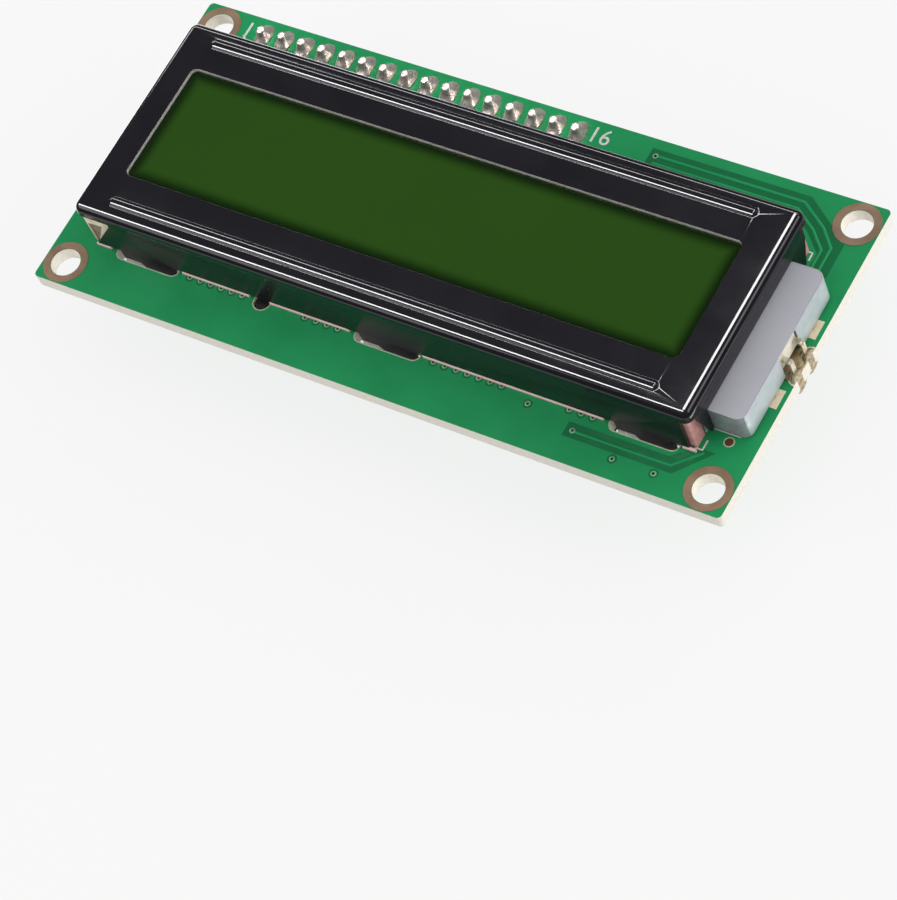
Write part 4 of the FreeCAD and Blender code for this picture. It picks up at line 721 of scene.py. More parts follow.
made = {node: finished_copy(node, material, rounding)
        for node, slot, material, rounding in SMALL_PARTS}
slot_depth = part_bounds("trimmer_rotor")[0].z + 0.12 * MM
second_finish(made["trimmer_rotor"], ROTOR_SHADE,
              lambda face: face.normal.z < 0.5 and face.center.z > slot_depth)
second_finish(made["mounting_rings"], RING_BACK, lambda face: face.normal.z < -0.5)
print("small parts", len(made))

# %% [markdown]
# Films and leads that hardly show keep the frame's own solid and only get a finish. A copy of them
# would cost time and show nothing.

# %% Solids that only get a finish
HIDDEN = {"rear_polarizer": FILM_WHITE, "diffuser_film": FILM_WHITE, "reflector_film": FILM_WHITE,
          "trimmer_leads": SOLDER, "tail_solder": SOLDER}
for node, material in HIDDEN.items():
    solid = frame["nodes"][node]
    solid.data.materials.clear()
    solid.data.materials.append(material)
print("plain solids with a finish", len(HIDDEN))

# %% [markdown]
# Copper lines, white print and other thin things are far too many to model one by one. A short node
# tree turns any path into a flat ribbon of a given width: the path's edges become a curve, a
# rectangle is swept along it, and the result gets its material. Every tree here ends the same way,
# with its instances made real and its material set, so that end is a helper of its own.

# %% A tree that turns paths into ribbons
def geometry_tree(name, inputs):
    """Empty geometry tree with named inputs after its geometry."""
    tree = bpy.data.node_groups.new(name, "GeometryNodeTree")
    add_sockets(tree, "INPUT", (("Geometry", "Geometry"), *inputs, ("Material", "Material")))
    add_sockets(tree, "OUTPUT", (("Geometry", "Geometry"),))
    return tree, add_node(tree, "NodeGroupInput").outputs


def end_tree(tree, geometry, material):
    """Makes instances real, sets the material and hands the result out."""
    realize = add_node(tree, "GeometryNodeRealizeInstances")
    paint = add_node(tree, "GeometryNodeSetMaterial")
    result = add_node(tree, "NodeGroupOutput")
    tree.links.new(geometry, realize.inputs[0])
    tree.links.new(realize.outputs[0], paint.inputs[0])
    tree.links.new(material, paint.inputs["Material"])
    tree.links.new(paint.outputs[0], result.inputs["Geometry"])


def make_ribbon_tree():
    tree, given = geometry_tree("ribbons", (("Width", "Float"), ("Thickness", "Float")))
    curve = add_node(tree, "GeometryNodeMeshToCurve")
    normal = add_node(tree, "GeometryNodeSetCurveNormal", mode="Z_UP")
    profile = add_node(tree, "GeometryNodeCurvePrimitiveQuadrilateral")
    sweep = add_node(tree, "GeometryNodeCurveToMesh")
    sweep.inputs["Fill Caps"].default_value = True
    tree.links.new(given["Geometry"], curve.inputs[0])
    tree.links.new(curve.outputs[0], normal.inputs[0])
    tree.links.new(normal.outputs[0], sweep.inputs["Curve"])
    tree.links.new(given["Width"], profile.inputs["Width"])
    tree.links.new(given["Thickness"], profile.inputs["Height"])
    tree.links.new(profile.outputs[0], sweep.inputs["Profile Curve"])
    end_tree(tree, sweep.outputs[0], given["Material"])
    return tree


RIBBONS = make_ribbon_tree()
print("ribbon tree with", len(RIBBONS.nodes), "nodes")

# %% [markdown]
# A tree runs as a modifier on a mesh that holds only points or edges. What it makes is then kept as
# a plain mesh and the modifier dropped, because a piece has to ride on its body as it is. Paths are
# lists of points in millimetres, so a bundle of lines is one centre line moved sideways.

# %% Paths and the pieces that grow on them
RING_STEPS = 24
TIGHTEST_CORNER = 0.3


def grow(name, mesh, tree, body, values):
    """Runs a geometry tree on a mesh and keeps what it makes as one plain piece."""
    piece = link_piece(name, mesh)
    modifier = piece.modifiers.new(tree.name, "NODES")
    modifier.node_group = tree
    for item in tree.interface.items_tree:
        if item.in_out == "INPUT" and item.name in values:
            modifier[item.identifier] = values[item.name]
    bake_modifiers(piece)
    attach(piece, body)
    return piece


def path_mesh(name, paths, level):
    """Edges along each path of (x, y) or (x, y, z) points in millimetres."""
    points, edges = [], []
    for path in paths:
        start = len(points)
        points += [mm(*p, *(() if len(p) == 3 else (level / MM,))) for p in path]
        edges += [(i, i + 1) for i in range(start, len(points) - 1)]
    mesh = bpy.data.meshes.new(name)
    mesh.from_pydata(points, edges, [])
    return mesh


def ribbons(name, paths, level, width, rise, material, body="module"):
    """Flat lines that stand a little proud of a face at that level."""
    values = {"Width": width * MM, "Thickness": 2 * rise * MM, "Material": material}
    return grow(name, path_mesh(name, paths, level), RIBBONS, body, values)


def side_by_side(path, count, pitch):
    """The path repeated as parallel lines, with the corners kept at the same pitch."""
    points = [Vector(p) for p in path]
    ways = [(b - a).normalized() for a, b in zip(points, points[1:])]
    lines = []
    for k in range(count):
        offset = (k - (count - 1) / 2) * pitch
        line = []
        for i, point in enumerate(points):
            before, after = ways[max(i - 1, 0)], ways[min(i, len(ways) - 1)]
            across = Vector((-before.y - after.y, before.x + after.x)).normalized()
            corner = max(across.dot(Vector((-after.y, after.x))), TIGHTEST_CORNER)
            line.append(point + across * offset / corner)
        lines.append([tuple(p) for p in line])
    return lines


def rectangle(x0, y0, x1, y1):
    return [(x0, y0), (x1, y0), (x1, y1), (x0, y1), (x0, y0)]


def ring(x, y, radius, steps=RING_STEPS):
    turns = [math.tau * i / steps for i in range(steps + 1)]
    return [(x + radius * math.cos(t), y + radius * math.sin(t)) for t in turns]


print("a ring has", len(ring(0, 0, 1)), "points")

# %% [markdown]
# Solder joints, plated-through vias and pips repeat by the dozen. Each is one small turned or
# lofted shape, and a second tree sets it on every point, with a random turn and size so that no
# two joints look stamped from one die.

# %% A tree that sets a shape on points
def make_stamp_tree():
    tree, given = geometry_tree("stamps", (("Shape", "Object"), ("Flip", "Float"), ("Turn", "Float"),
                                           ("Spread", "Float"), ("Seed", "Int")))
    shape = add_node(tree, "GeometryNodeObjectInfo")
    tree.links.new(given["Shape"], shape.inputs["Object"])
    stamp = add_node(tree, "GeometryNodeInstanceOnPoints")
    tree.links.new(given["Geometry"], stamp.inputs["Points"])
    tree.links.new(shape.outputs["Geometry"], stamp.inputs["Instance"])
    turn = add_node(tree, "FunctionNodeRandomValue", data_type="FLOAT")
    size = add_node(tree, "FunctionNodeRandomValue", data_type="FLOAT")
    for node, low, high in ((turn, maths(tree, "MULTIPLY", given["Turn"], -1.0), given["Turn"]),
                            (size, maths(tree, "SUBTRACT", 1.0, given["Spread"]), 1.0)):
        low_in, high_in = [i for i in node.inputs if i.enabled and i.name in ("Min", "Max")]
        feed(tree, low_in, low)
        feed(tree, high_in, high)
        tree.links.new(given["Seed"], node.inputs["Seed"])
    turned, scaled = [next(o for o in node.outputs if o.enabled) for node in (turn, size)]
    angles = add_node(tree, "ShaderNodeCombineXYZ")
    tree.links.new(given["Flip"], angles.inputs["X"])
    tree.links.new(turned, angles.inputs["Z"])
    tree.links.new(angles.outputs[0], stamp.inputs["Rotation"])
    tree.links.new(scaled, stamp.inputs["Scale"])
    end_tree(tree, stamp.outputs[0], given["Material"])
    return tree


STAMPS = make_stamp_tree()
print("stamp tree with", len(STAMPS.nodes), "nodes")

# %% [markdown]
# The shapes to stamp are lofted: a stack of rings, each with its own half widths, height and
# squareness, joined by rows of faces. That gives round, oblong and leaning shapes from a few
# numbers, where a primitive would have to be bent and cut.

# %% Lofted shapes and their stamps
def loft(name, rings, sides):
    """Closed shape from rings of (half x, half y, height, squareness[, shift x, shift y]) in mm."""
    shape = bmesh.new()
    loops = []
    for rx, ry, z, square, *shift in rings:
        sx, sy = shift or (0, 0)
        loop = []
        for i in range(sides):
            c, d = math.cos(math.tau * i / sides), math.sin(math.tau * i / sides)
            reach = (abs(c) ** square + abs(d) ** square) ** (-1 / square)
            loop.append(shape.verts.new(mm(sx + rx * c * reach, sy + ry * d * reach, z)))
        loops.append(loop)
    for low, high in zip(loops, loops[1:]):
        for i in range(sides):
            j = (i + 1) % sides
            shape.faces.new((low[i], low[j], high[j], high[i]))
    shape.faces.new(loops[0][::-1])
    shape.faces.new(loops[-1])
    for face in shape.faces:
        face.smooth = len(face.verts) == 4
    return to_mesh(name, shape)


def stamps(name, points, shape, material, body="module", back=False, turn=0.0, spread=0.0):
    """Sets a shape on each (x, y, z) point in millimetres, facing down where back is set."""
    template = link_piece(name + "_shape", shape)
    values = {"Shape": template, "Material": material, "Flip": math.pi if back else 0.0,
              "Turn": turn, "Spread": spread, "Seed": SEED}
    mesh = bpy.data.meshes.new(name)
    mesh.from_pydata([mm(*p) for p in points], [], [])
    piece = grow(name, mesh, STAMPS, body, values)
    bpy.data.objects.remove(template)
    return piece


print("stamps draw their turns and sizes from seed", SEED)

# %% [markdown]
# Print and joints have to follow the solids. A node may hold many separate solids, such as all the
# resistors, so its mesh is walked from point to point along its edges, and each walk that ends is
# one solid with its own box.

# %% Boxes of a node's separate solids
def corners(points):
    """Lowest and highest corner of some points, as two lists."""
    return [min(p[k] for p in points) for k in range(3)], [max(p[k] for p in points) for k in range(3)]


def loose_boxes(node):
    """Low and high corner of each separate solid of a node, in millimetres."""
    shape = merged_solid(node)
    left = set(shape.verts)
    boxes = []
    while left:
        pile = [left.pop()]
        found = []
        while pile:
            vert = pile.pop()
            found.append(vert.co / MM)
            for edge in vert.link_edges:
                other = edge.other_vert(vert)
                if other in left:
                    left.remove(other)
                    pile.append(other)
        boxes.append(corners(found))
    shape.free()
    return sorted(boxes)


def centres(node):
    return [tuple((a + b) / 2 for a, b in zip(low, high)) for low, high in loose_boxes(node)]


print("front joints", len(loose_boxes("front_solder")))

# %% [markdown]
# Solder joints of the display header. On the front, solder covers an oblong pad and climbs a short
# way up each pin. Three shapes take turns, because hand soldering is uneven. On the adapter, each
# joint is a full dome with the pin's tip just under its skin.

# %% Solder joints
FRONT_PAD = (0.92, 1.46, 0.0, 2.6)
FRONT_JOINTS = (
    (FRONT_PAD, (0.9, 1.42, 0.1, 2.5), (0.8, 1.2, 0.34, 2.3), (0.66, 0.88, 0.66, 2.1),
     (0.56, 0.64, 0.94, 2, 0, -0.06), (0.52, 0.56, 1.16, 2, 0, -0.07),
     (0.44, 0.46, 1.32, 2, 0, -0.07), (0.26, 0.28, 1.42, 2, 0, -0.06),
     (0.08, 0.08, 1.45, 2, 0, -0.06)),
    (FRONT_PAD, (0.91, 1.4, 0.12, 2.5), (0.76, 1.28, 0.34, 2.3, 0, -0.05),
     (0.62, 0.96, 0.6, 2.1, 0.03, -0.12), (0.54, 0.66, 0.88, 2, 0.04, -0.06),
     (0.5, 0.54, 1.14, 2, 0.04, 0), (0.42, 0.46, 1.32, 2, 0.04, 0),
     (0.24, 0.26, 1.43, 2, 0.04, 0), (0.08, 0.08, 1.46, 2, 0.04, 0)),
    (FRONT_PAD, (0.88, 1.42, 0.08, 2.5), (0.82, 1.16, 0.3, 2.3, 0, 0.06),
     (0.7, 0.84, 0.6, 2.1, -0.04, 0.1), (0.58, 0.64, 0.88, 2, -0.04, 0.04),
     (0.52, 0.56, 1.14, 2, -0.03, 0), (0.45, 0.48, 1.3, 2, -0.03, -0.02),
     (0.28, 0.3, 1.4, 2, -0.03, -0.02), (0.1, 0.1, 1.44, 2, -0.03, -0.02)),
)
DOME_JOINT = ((0.96, 0.96, 0.0, 2), (0.98, 0.98, 0.1, 2), (0.93, 0.93, 0.32, 2),
              (0.8, 0.8, 0.55, 2), (0.6, 0.6, 0.72, 2), (0.38, 0.38, 0.8, 2),
              (0.34, 0.34, 0.86, 2.6), (0.26, 0.26, 0.9, 2.4), (0.08, 0.08, 0.92, 2))
JOINT_SIDES = 24


def joint_rows():
    front, domes = [[(x / MM, ROW_Y / MM, z / MM) for x in PIN_XS] for z in (FRONT, ADAPTER_FACE)]
    pieces = []
    for k, rings in enumerate(FRONT_JOINTS):
        shape = loft(f"front_joint_{k}", rings, JOINT_SIDES)
        pieces.append(stamps(f"front_joints_{k + 1}", front[k::len(FRONT_JOINTS)], shape, SOLDER,
                             turn=0.12, spread=0.06))
        lit_by_strips.objects.link(pieces[-1])
    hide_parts("front_solder")
    piece = stamps("adapter_joints", domes, loft("dome_joint", DOME_JOINT, JOINT_SIDES), SOLDER,
                   back=True, turn=0.5, spread=0.05)
    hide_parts("adapter_solder")


joint_rows()

# %% [markdown]
# The two bare chips on the back are sealed under poured black resin. A pour is a low dome with a
# steep rounded rim, and it lies in a printed cream ring that kept it from spreading. A cut sphere
# would have too sharp a foot, so the dome is a loft with its own curve and a slight three-fold wave.

# %% Poured covers
COVER_STEPS = 14
COVER_SIDES = 72
RIM_POWER = 0.62
RISE_POWER = 0.9
POUR_SHARE = 0.97
WAVE_SHARE = 0.02


def pour(node, ring_width):
    """Round dome in the place of a node, and the print ring around its foot."""
    low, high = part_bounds(node)
    centre = (low + high) / 2
    radius = (high.x - low.x) / 2 / MM
    height = (high.z - low.z) / MM
    rings = []
    for k in range(COVER_STEPS):
        t = math.pi / 2 * k / (COVER_STEPS - 1)
        reach = radius * max(math.cos(t), 0.001) ** RIM_POWER
        rings.append((reach, reach, height * math.sin(t) ** RISE_POWER, 2))
    shape = loft(node + "_pour", rings, COVER_SIDES)
    for vert in shape.vertices:
        away = vert.co.xy.length / MM
        wave = math.sin(3 * math.atan2(vert.co.y, vert.co.x) + away)
        vert.co.z = centre.z + height / 2 * MM - vert.co.z * (POUR_SHARE - WAVE_SHARE * wave)
        vert.co.xy = vert.co.xy + centre.xy
    shape.flip_normals()
    piece = link_piece(node + "_pour", shape)
    shape.materials.append(RESIN_BLACK)
    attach(piece, "module")
    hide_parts(node)
    path = ring(centre.x / MM, centre.y / MM, radius + ring_width / 2, COVER_SIDES)
    ribbons(node + "_ring", [path], BACK, ring_width, 0.02, WHITE_PRINT)


pour("controller_cover", 0.12)
pour("driver_cover", 0.24)

# %% [markdown]
# Copper under the lacquer. Most of the back is one copper pour with dark gaps cut around each line,
# so such a line is drawn twice: a wide dark ribbon for its two gaps, then a narrower light one for
# the copper. Where there is no pour, a dark field is laid first and only light lines lie on it.

# %% Copper lines
GAP_RISE = 0.008
LINE_RISE = 0.016
PRINT_RISE = 0.024


def lines_in_pour(name, paths, level, width, gap):
    """Copper lines that a dark gap on each side parts from the pour around them."""
    ribbons(name + "_gaps", paths, level, width + 2 * gap, GAP_RISE, GREEN_DARK)
    ribbons(name + "_copper", paths, level, width, LINE_RISE, GREEN_MASK)


def plates(name, outlines, place, depth, material):
    """Thin plates from outlines in millimetres; place gives a point of an outline its corner."""
    shape = bmesh.new()
    for outline in outlines:
        base = [shape.verts.new(place(*point)) for point in outline]
        top = [shape.verts.new(place(*point) + depth) for point in outline]
        shape.faces.new(base)
        shape.faces.new(top)
        for i in range(len(base)):
            shape.faces.new((base[i - 1], base[i], top[i], top[i - 1]))
    bmesh.ops.recalc_face_normals(shape, faces=shape.faces)
    mesh = to_mesh(name, shape)
    mesh.materials.append(material)
    piece = link_piece(name, mesh)
    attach(piece, "module")
    return piece


def field(name, outlines, level, rise, material):
    """Plates that lie on a face at that level, for areas of one look."""
    depth = mm(0, 0, rise if level >= FRONT else -rise)
    return plates(name, outlines, lambda x, y: mm(x, y, level / MM), depth, material)


print("rises in mm", GAP_RISE, LINE_RISE, PRINT_RISE)

# %% [markdown]
# On the front little shows beside the bezel: a row of vias along the lower edge, and two corners
# where lines run over bare glass. A via is a plated hole under lacquer, so it is three stamps: a
# dark clearing, a pale ring and a dark eye of painted shade where the hole is.

# %% Copper on the front of the main board
BOTTOM_VIAS = [-23.7 + 1.28 * i for i in range(6)] + [-9.7 + 1.3 * i for i in range(4)]
BOTTOM_VIAS += [5.4 + 1.3 * i for i in range(7)] + [20.8, 22.1, 23.4]
BOTTOM_VIA_Y = -12.55
FRONT_VIAS = [(16.6, -13.4), (27.3, -15.9), (31.8, -15.9), (14.9, 16.1), (22.2, -14.5)]
FRONT_FIELDS = (
    [(14.2, 16.9), (31.9, 16.9), (35.2, 14.6), (37.4, 12.9), (37.4, 7.2), (35.3, 7.2), (35.3, 11.2),
     (33.2, 13.2), (31.2, 14.6), (14.2, 14.6)],
    [(21.4, -13.7), (32.3, -13.7), (34.4, -11.9), (36.4, -11.9), (33.4, -15.3), (21.4, -15.3)],
)
FRONT_LINES = (
    [(22.2, -14.5), (32.9, -14.5), (35.3, -12.2)],
    [(14.9, 16.1), (31.5, 16.1), (34.6, 14.0), (36.3, 12.2), (36.3, 7.4)],
    [(14.9, 15.2), (31.2, 15.2), (33.7, 13.5), (35.5, 11.7), (35.5, 7.4)],
)
field("front_dark_fields", FRONT_FIELDS, FRONT, GAP_RISE / 2, GREEN_DARK)
ribbons("front_lines", FRONT_LINES, FRONT, 0.36, LINE_RISE, GREEN_MASK)


def via_shapes(name, points, level, back):
    """Lacquered-over plated hole: a raised ring, and a dark disc of painted shade for its hole."""
    z = level / MM
    hole_shades = loft(name + "_eye", ((0.17, 0.17, 0.0, 2), (0.15, 0.15, 0.034, 2)), 12)
    rings = loft(name + "_rim", ((0.34, 0.34, 0.0, 2), (0.29, 0.29, 0.026, 2), (0.2, 0.2, 0.03, 2)), 16)
    skirts = loft(name + "_skirt", ((0.5, 0.5, 0.0, 2), (0.48, 0.48, 0.012, 2)), 16)
    spots = [(x, y, z) for x, y in points]
    stamps(name + "_clearings", spots, skirts, GREEN_DARK, back=back)
    stamps(name + "_rims", spots, rings, VIA_RIM, back=back, spread=0.12)
    # Painted shade: a dark disc where the hole is.
    stamps(name + "_eyes", spots, hole_shades, RESISTOR_BLACK, back=back)


via_shapes("front_vias", [(x, BOTTOM_VIA_Y) for x in BOTTOM_VIAS] + FRONT_VIAS, FRONT, False)
print("front lines", len(FRONT_LINES), "vias", len(BOTTOM_VIAS) + len(FRONT_VIAS))

# %% [markdown]
# The back of the main board carries the drive lines between the two chips and the rubber strips.
# They run in bundles, so a bundle is one centre line with a count and a pitch. Seen from the back,
# +X lies on the left. First come the plain dark and light areas.

# %% Areas on the back of the main board
DARK_FIELDS = (
    [(25.4, 8.0), (12.0, 8.2), (7.0, 8.2), (7.0, -1.7), (-35.8, -1.7), (-35.8, -9.6), (-4.0, -9.6),
     (4.2, -9.6), (4.2, -13.5), (14.2, -13.5), (14.2, -9.8), (20.0, -9.8), (20.0, -13.5),
     (25.4, -13.5)],
    [(22.8, -13.6), (-34.9, -13.6), (-34.9, -17.4), (24.6, -17.4)],
    [(-4.2, -9.6), (-10.6, -9.6), (-10.6, -13.4), (-4.2, -13.4)],
    [(-15.8, -9.6), (-24.9, -9.6), (-24.9, -13.4), (-15.8, -13.4)],
)
LIGHT_FIELDS = (
    [(-0.2, -1.9), (-2.2, -3.9), (-2.2, -8.2), (2.0, -8.2), (3.2, -9.4), (-8.0, -9.4), (-8.0, -1.9)],
    [(-24.2, -1.9), (-33.4, -1.9), (-33.4, -7.2), (-30.0, -8.0), (-24.2, -8.0)],
    [(24.9, 7.4), (24.4, 7.4), (24.4, 2.4), (24.9, 2.0)],
)
field("back_dark_fields", DARK_FIELDS, BACK, GAP_RISE / 2, GREEN_DARK)
field("back_light_fields", LIGHT_FIELDS, BACK, GAP_RISE, GREEN_MASK)
print("areas", len(DARK_FIELDS), "dark,", len(LIGHT_FIELDS), "light")

# %% [markdown]
# Then the lines. The fine ones run as bundles with a count and a pitch, short ones leave each via
# of the lower row, and the long supply lines follow the board's edge. A step in a row of vias is a
# rule of its number, so such rows are worked out and not listed.

# %% Lines and vias on the back of the main board
BUNDLES = (
    ([(22.9, 7.7), (24.0, 6.4), (24.0, 2.3), (19.4, -2.3), (17.4, -4.0)], 8, 0.31),
    ([(21.9, -7.3), (12.8, -7.3), (7.4, -1.9)], 14, 0.33),
    ([(7.6, 6.2), (12.4, 6.2), (14.6, 4.0)], 10, 0.36),
    ([(4.6, -7.7), (-1.2, -1.9)], 5, 0.42),
    ([(21.2, 4.3), (19.2, 4.3), (17.6, 2.7)], 4, 0.5),
    ([(-5.6, -3.2), (-8.0, -5.6), (-9.6, -5.8)], 5, 0.34),
    ([(-19.0, -4.2), (-17.0, -6.2), (-15.4, -6.6)], 5, 0.34),
)
VIA_PATHS = [[(x, -12.2), (x, -11.1), (x - 1.0, -10.1), (x - 2.6 - 0.5 * i, -8.4 + 0.4 * i)]
             for i, x in enumerate(BOTTOM_VIAS[10:17])]
VIA_PATHS += [[(x, -12.2), (x, -10.1 + 0.1 * i), (x + 1.6, -8.5 + 0.1 * i)]
              for i, x in enumerate(BOTTOM_VIAS[:6])]
VIA_PATHS += [[(x, -12.2), (x, -9.3), (x - 0.6, -8.7)] for x in BOTTOM_VIAS[6:10]]
VIA_PATHS += [[(x, -12.2), (x, -11.2), (x - 0.7, -10.5), (x - 0.7, -9.9)] for x in BOTTOM_VIAS[17:]]
LONG_LINES = side_by_side([(21.6, -15.5), (-31.9, -15.5), (-34.9, -12.5), (-34.9, -2.0)], 3, 1.05)
POUR_LINES = (
    [(37.6, 5.0), (37.6, 10.9), (35.1, 13.5), (23.4, 13.5)],
    [(15.3, 16.2), (13.4, 14.6), (7.6, 14.6)],
    [(36.1, 2.2), (34.8, 3.5), (34.8, 5.2), (33.2, 6.8)],
    [(24.9, -2.0), (24.9, -14.9), (23.2, -16.6), (34.4, -16.6)],
    [(27.6, 4.6), (25.9, 4.6), (25.9, -1.2)],
    [(30.4, -8.2), (30.4, -8.0), (25.2, -8.0)],
    [(18.0, 12.6), (10.0, 12.6), (8.6, 11.2)],
    [(-36.3, 8.2), (-36.3, 1.9), (-37.6, 0.4), (-37.6, -8.7)],
    [(-35.6, 5.2), (-35.2, 3.2), (-35.2, -0.6)],
)
BACK_VIAS = [(22.6, 6.65), (21.9, 7.2), (22.8, 5.1), (21.9, 4.4), (22.6, 3.55), (17.7, 6.8),
             (16.7, 6.4), (7.8, -2.6), (8.6, -3.1), (9.0, -4.4), (16.6, -13.4), (22.5, -14.6),
             (15.3, 16.2), (-37.6, -8.9), (-35.2, 8.35), (-36.3, 1.9), (-37.5, 5.0), (3.6, -4.0),
             (2.9, -4.8), (2.0, -4.1), (1.2, -4.7), (11.7, -8.4), (12.6, -8.9)]
BACK_VIAS += [(22.5 + 0.9 * (i % 2), -2.7 - 0.73 * i) for i in range(9)]
BACK_VIAS += [(-5.3 + 0.8 * (i % 2), -3.9 - 0.8 * i) for i in range(7)]
BACK_VIAS += [(-18.4 - 0.8 * (i % 2), -4.7 - 0.75 * i) for i in range(5)]
BACK_VIAS += [(x, -12.3) for x in BOTTOM_VIAS]
fine = [line for path, count, pitch in BUNDLES for line in side_by_side(path, count, pitch)]
ribbons("back_fine_lines", fine, BACK, 0.15, LINE_RISE, GREEN_TRACE)
ribbons("back_via_lines", VIA_PATHS, BACK, 0.16, LINE_RISE, GREEN_TRACE)
ribbons("back_long_lines", LONG_LINES, BACK, 0.62, LINE_RISE, GREEN_MASK)
lines_in_pour("back_pour_lines", POUR_LINES, BACK, 0.62, 0.2)
via_shapes("back_vias", BACK_VIAS, BACK, True)
print("fine lines", len(fine), "long lines", len(LONG_LINES), "back vias", len(BACK_VIAS))

# %% [markdown]
# White print. The places of parts are framed by lines and brackets that follow the parts' own
# sizes, read from the frame, so the print would move with them.

# %% Frames and brackets round parts
PRINT_WIDTH = 0.2
FRAME_SPARE = 0.32


def bracket_pair(box, open_share=0.28, spare=FRAME_SPARE):
    """Two brackets around a two-ended part, open in the middle of its long sides."""
    (x0, y0, _), (x1, y1, _) = box
    x0, y0, x1, y1 = x0 - spare, y0 - spare, x1 + spare, y1 + spare
    middle_x, middle_y = (x0 + x1) / 2, (y0 + y1) / 2
    if x1 - x0 > y1 - y0:
        half = (x1 - x0) * open_share / 2
        return [[(near, y0), (x, y0), (x, y1), (near, y1)]
                for near, x in ((middle_x - half, x0), (middle_x + half, x1))]
    half = (y1 - y0) * open_share / 2
    return [[(x0, near), (x0, y), (x1, y), (x1, near)]
            for near, y in ((middle_y - half, y0), (middle_y + half, y1))]


def merged_boxes(node, count):
    """Boxes of a node's solids joined by nearness until so many are left, as for pads of a part."""
    boxes = loose_boxes(node)
    while len(boxes) > count:
        pairs = [(sum((a[0][k] + a[1][k] - b[0][k] - b[1][k]) ** 2 for k in range(2)), i, j)
                 for i, a in enumerate(boxes) for j, b in enumerate(boxes) if i < j]
        _, i, j = min(pairs)
        joined = corners([*boxes[i], *boxes[j]])
        boxes = [box for k, box in enumerate(boxes) if k not in (i, j)] + [joined]
    return boxes


def print_lines(name, paths, level, width=PRINT_WIDTH):
    """White printed lines that stand proud of all copper."""
    ribbons(name, paths, level, width, PRINT_RISE, WHITE_PRINT)


print("pads of resistors", len(merged_boxes("board_resistor_pads", len(centres("board_resistor_bodies")))))

# %% [markdown]
# Every name is left off, and only plain numbers stand in for what was printed. They come from the
# built-in type, given a hair of thickness. On the back they are turned over, so that they read the
# right way from there.

# %% Printed numbers
def numbers(name, entries, level, size, material, back=True, turned=0.0, rise=PRINT_RISE):
    """Plain numbers from the built-in type, each (text, x, y) in millimetres, as one piece."""
    build = bmesh.new()
    for text, x, y in entries:
        curve = bpy.data.curves.new(name, "FONT")
        curve.body = text
        curve.size = size * MM
        curve.extrude = rise * MM
        curve.resolution_u = 3
        curve.align_x = "CENTER"
        curve.align_y = "CENTER"
        writing = link_piece(name, curve)
        bpy.context.view_layer.update()
        graph = bpy.context.evaluated_depsgraph_get()
        letters = bpy.data.meshes.new_from_object(writing.evaluated_get(graph))
        place = Matrix.Translation(mm(x, y, level / MM))
        if back:
            place = place @ Matrix.Rotation(math.pi, 4, "Y")
        letters.transform(place @ Matrix.Rotation(turned, 4, "Z"))
        build.from_mesh(letters)
        bpy.data.objects.remove(writing)
        bpy.data.meshes.remove(letters)
    mesh = to_mesh(name, build)
    mesh.materials.append(material)
    piece = link_piece(name, mesh)
    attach(piece, "module")
    return piece


FRONT_PRINT = (
    [(34.9, 10.2), (34.9, 11.1), (34.3, 11.1)],
    [(35.0, -10.9), (35.0, -12.0), (34.2, -12.0)],
)
print_lines("front_print", FRONT_PRINT, FRONT)
print_lines("front_pin_one_mark", [[(-31.9, 13.9), (-33.2, 14.4), (-34.3, 15.4)]], FRONT)
numbers("front_numbers", (("1", -34.1, 16.1), ("16", 8.4, 16.3)), FRONT, 2.6, WHITE_PRINT, False)
print("front marks", len(FRONT_PRINT) + 1)

# %% [markdown]
# The back has more print: a row of three jumper rings, brackets round each resistor, and brackets
# round the places that are left empty, two of them with a plus sign and a bar for the right way in.

# %% Print on the back of the main board
PLUS_X, PLUS_YS, PLUS_REACH = 26.55, (-2.8, -6.4), 0.55
back_print = [
    rectangle(28.1, -0.8, 30.6, 4.4),
    ring(32.0, 5.45, 1.22), ring(29.6, 5.45, 1.22), ring(27.2, 5.45, 1.22),
    [(29.0, 4.4), (29.0, 4.0), (29.35, 3.7), (29.7, 4.0), (29.7, 4.4)],
]
back_print += [[(PLUS_X - PLUS_REACH, y), (PLUS_X + PLUS_REACH, y)] for y in PLUS_YS]
back_print += [[(PLUS_X, y - PLUS_REACH), (PLUS_X, y + PLUS_REACH)] for y in PLUS_YS]
for box in merged_boxes("board_resistor_pads", len(loose_boxes("board_resistor_bodies"))):
    back_print += bracket_pair(box)
empty_places = [([27.5, -3.7, 0], [32.5, -1.9, 0]), ([27.5, -7.2, 0], [32.5, -5.4, 0]),
                ([-24.1, -7.25, 0], [-21.2, -5.65, 0])]
for box in empty_places:
    back_print += bracket_pair(box, 0.12, 0.2)
print_lines("back_print", back_print, BACK)
bars = [[(27.5, y - 1.05), (27.5, y + 1.05)] for y in (-2.8, -6.3)]
print_lines("back_polarity_bars", bars, BACK, 0.55)
numbers("back_numbers", (
    ("8", 25.1, 13.6), ("3", 24.3, -0.4), ("1", 34.6, -2.75), ("2", 34.6, -6.35), ("2", 17.8, -5.9),
    ("1", -7.9, -7.2), ("3", -21.0, -8.9), ("6", -21.6, -2.6), ("3", -26.6, -2.4), ("2", -26.6, -4.4),
    ("1", -26.6, -6.8), ("1", 32.0, 7.3), ("2", 29.6, 7.3), ("3", 27.2, 7.3)), BACK, 2.0, WHITE_PRINT)
numbers("back_pin_number", (("16", 9.1, 16.7),), BACK, 2.4, WHITE_PRINT)
print("print on the main board", len(back_print), "lines")

# %% [markdown]
# The adapter board is black with white print: a frame around the header row with a square at pin 1,
# brackets around every small part, a box around the trimmer and one around each header. All of it
# is measured from the boxes of the parts that it frames.

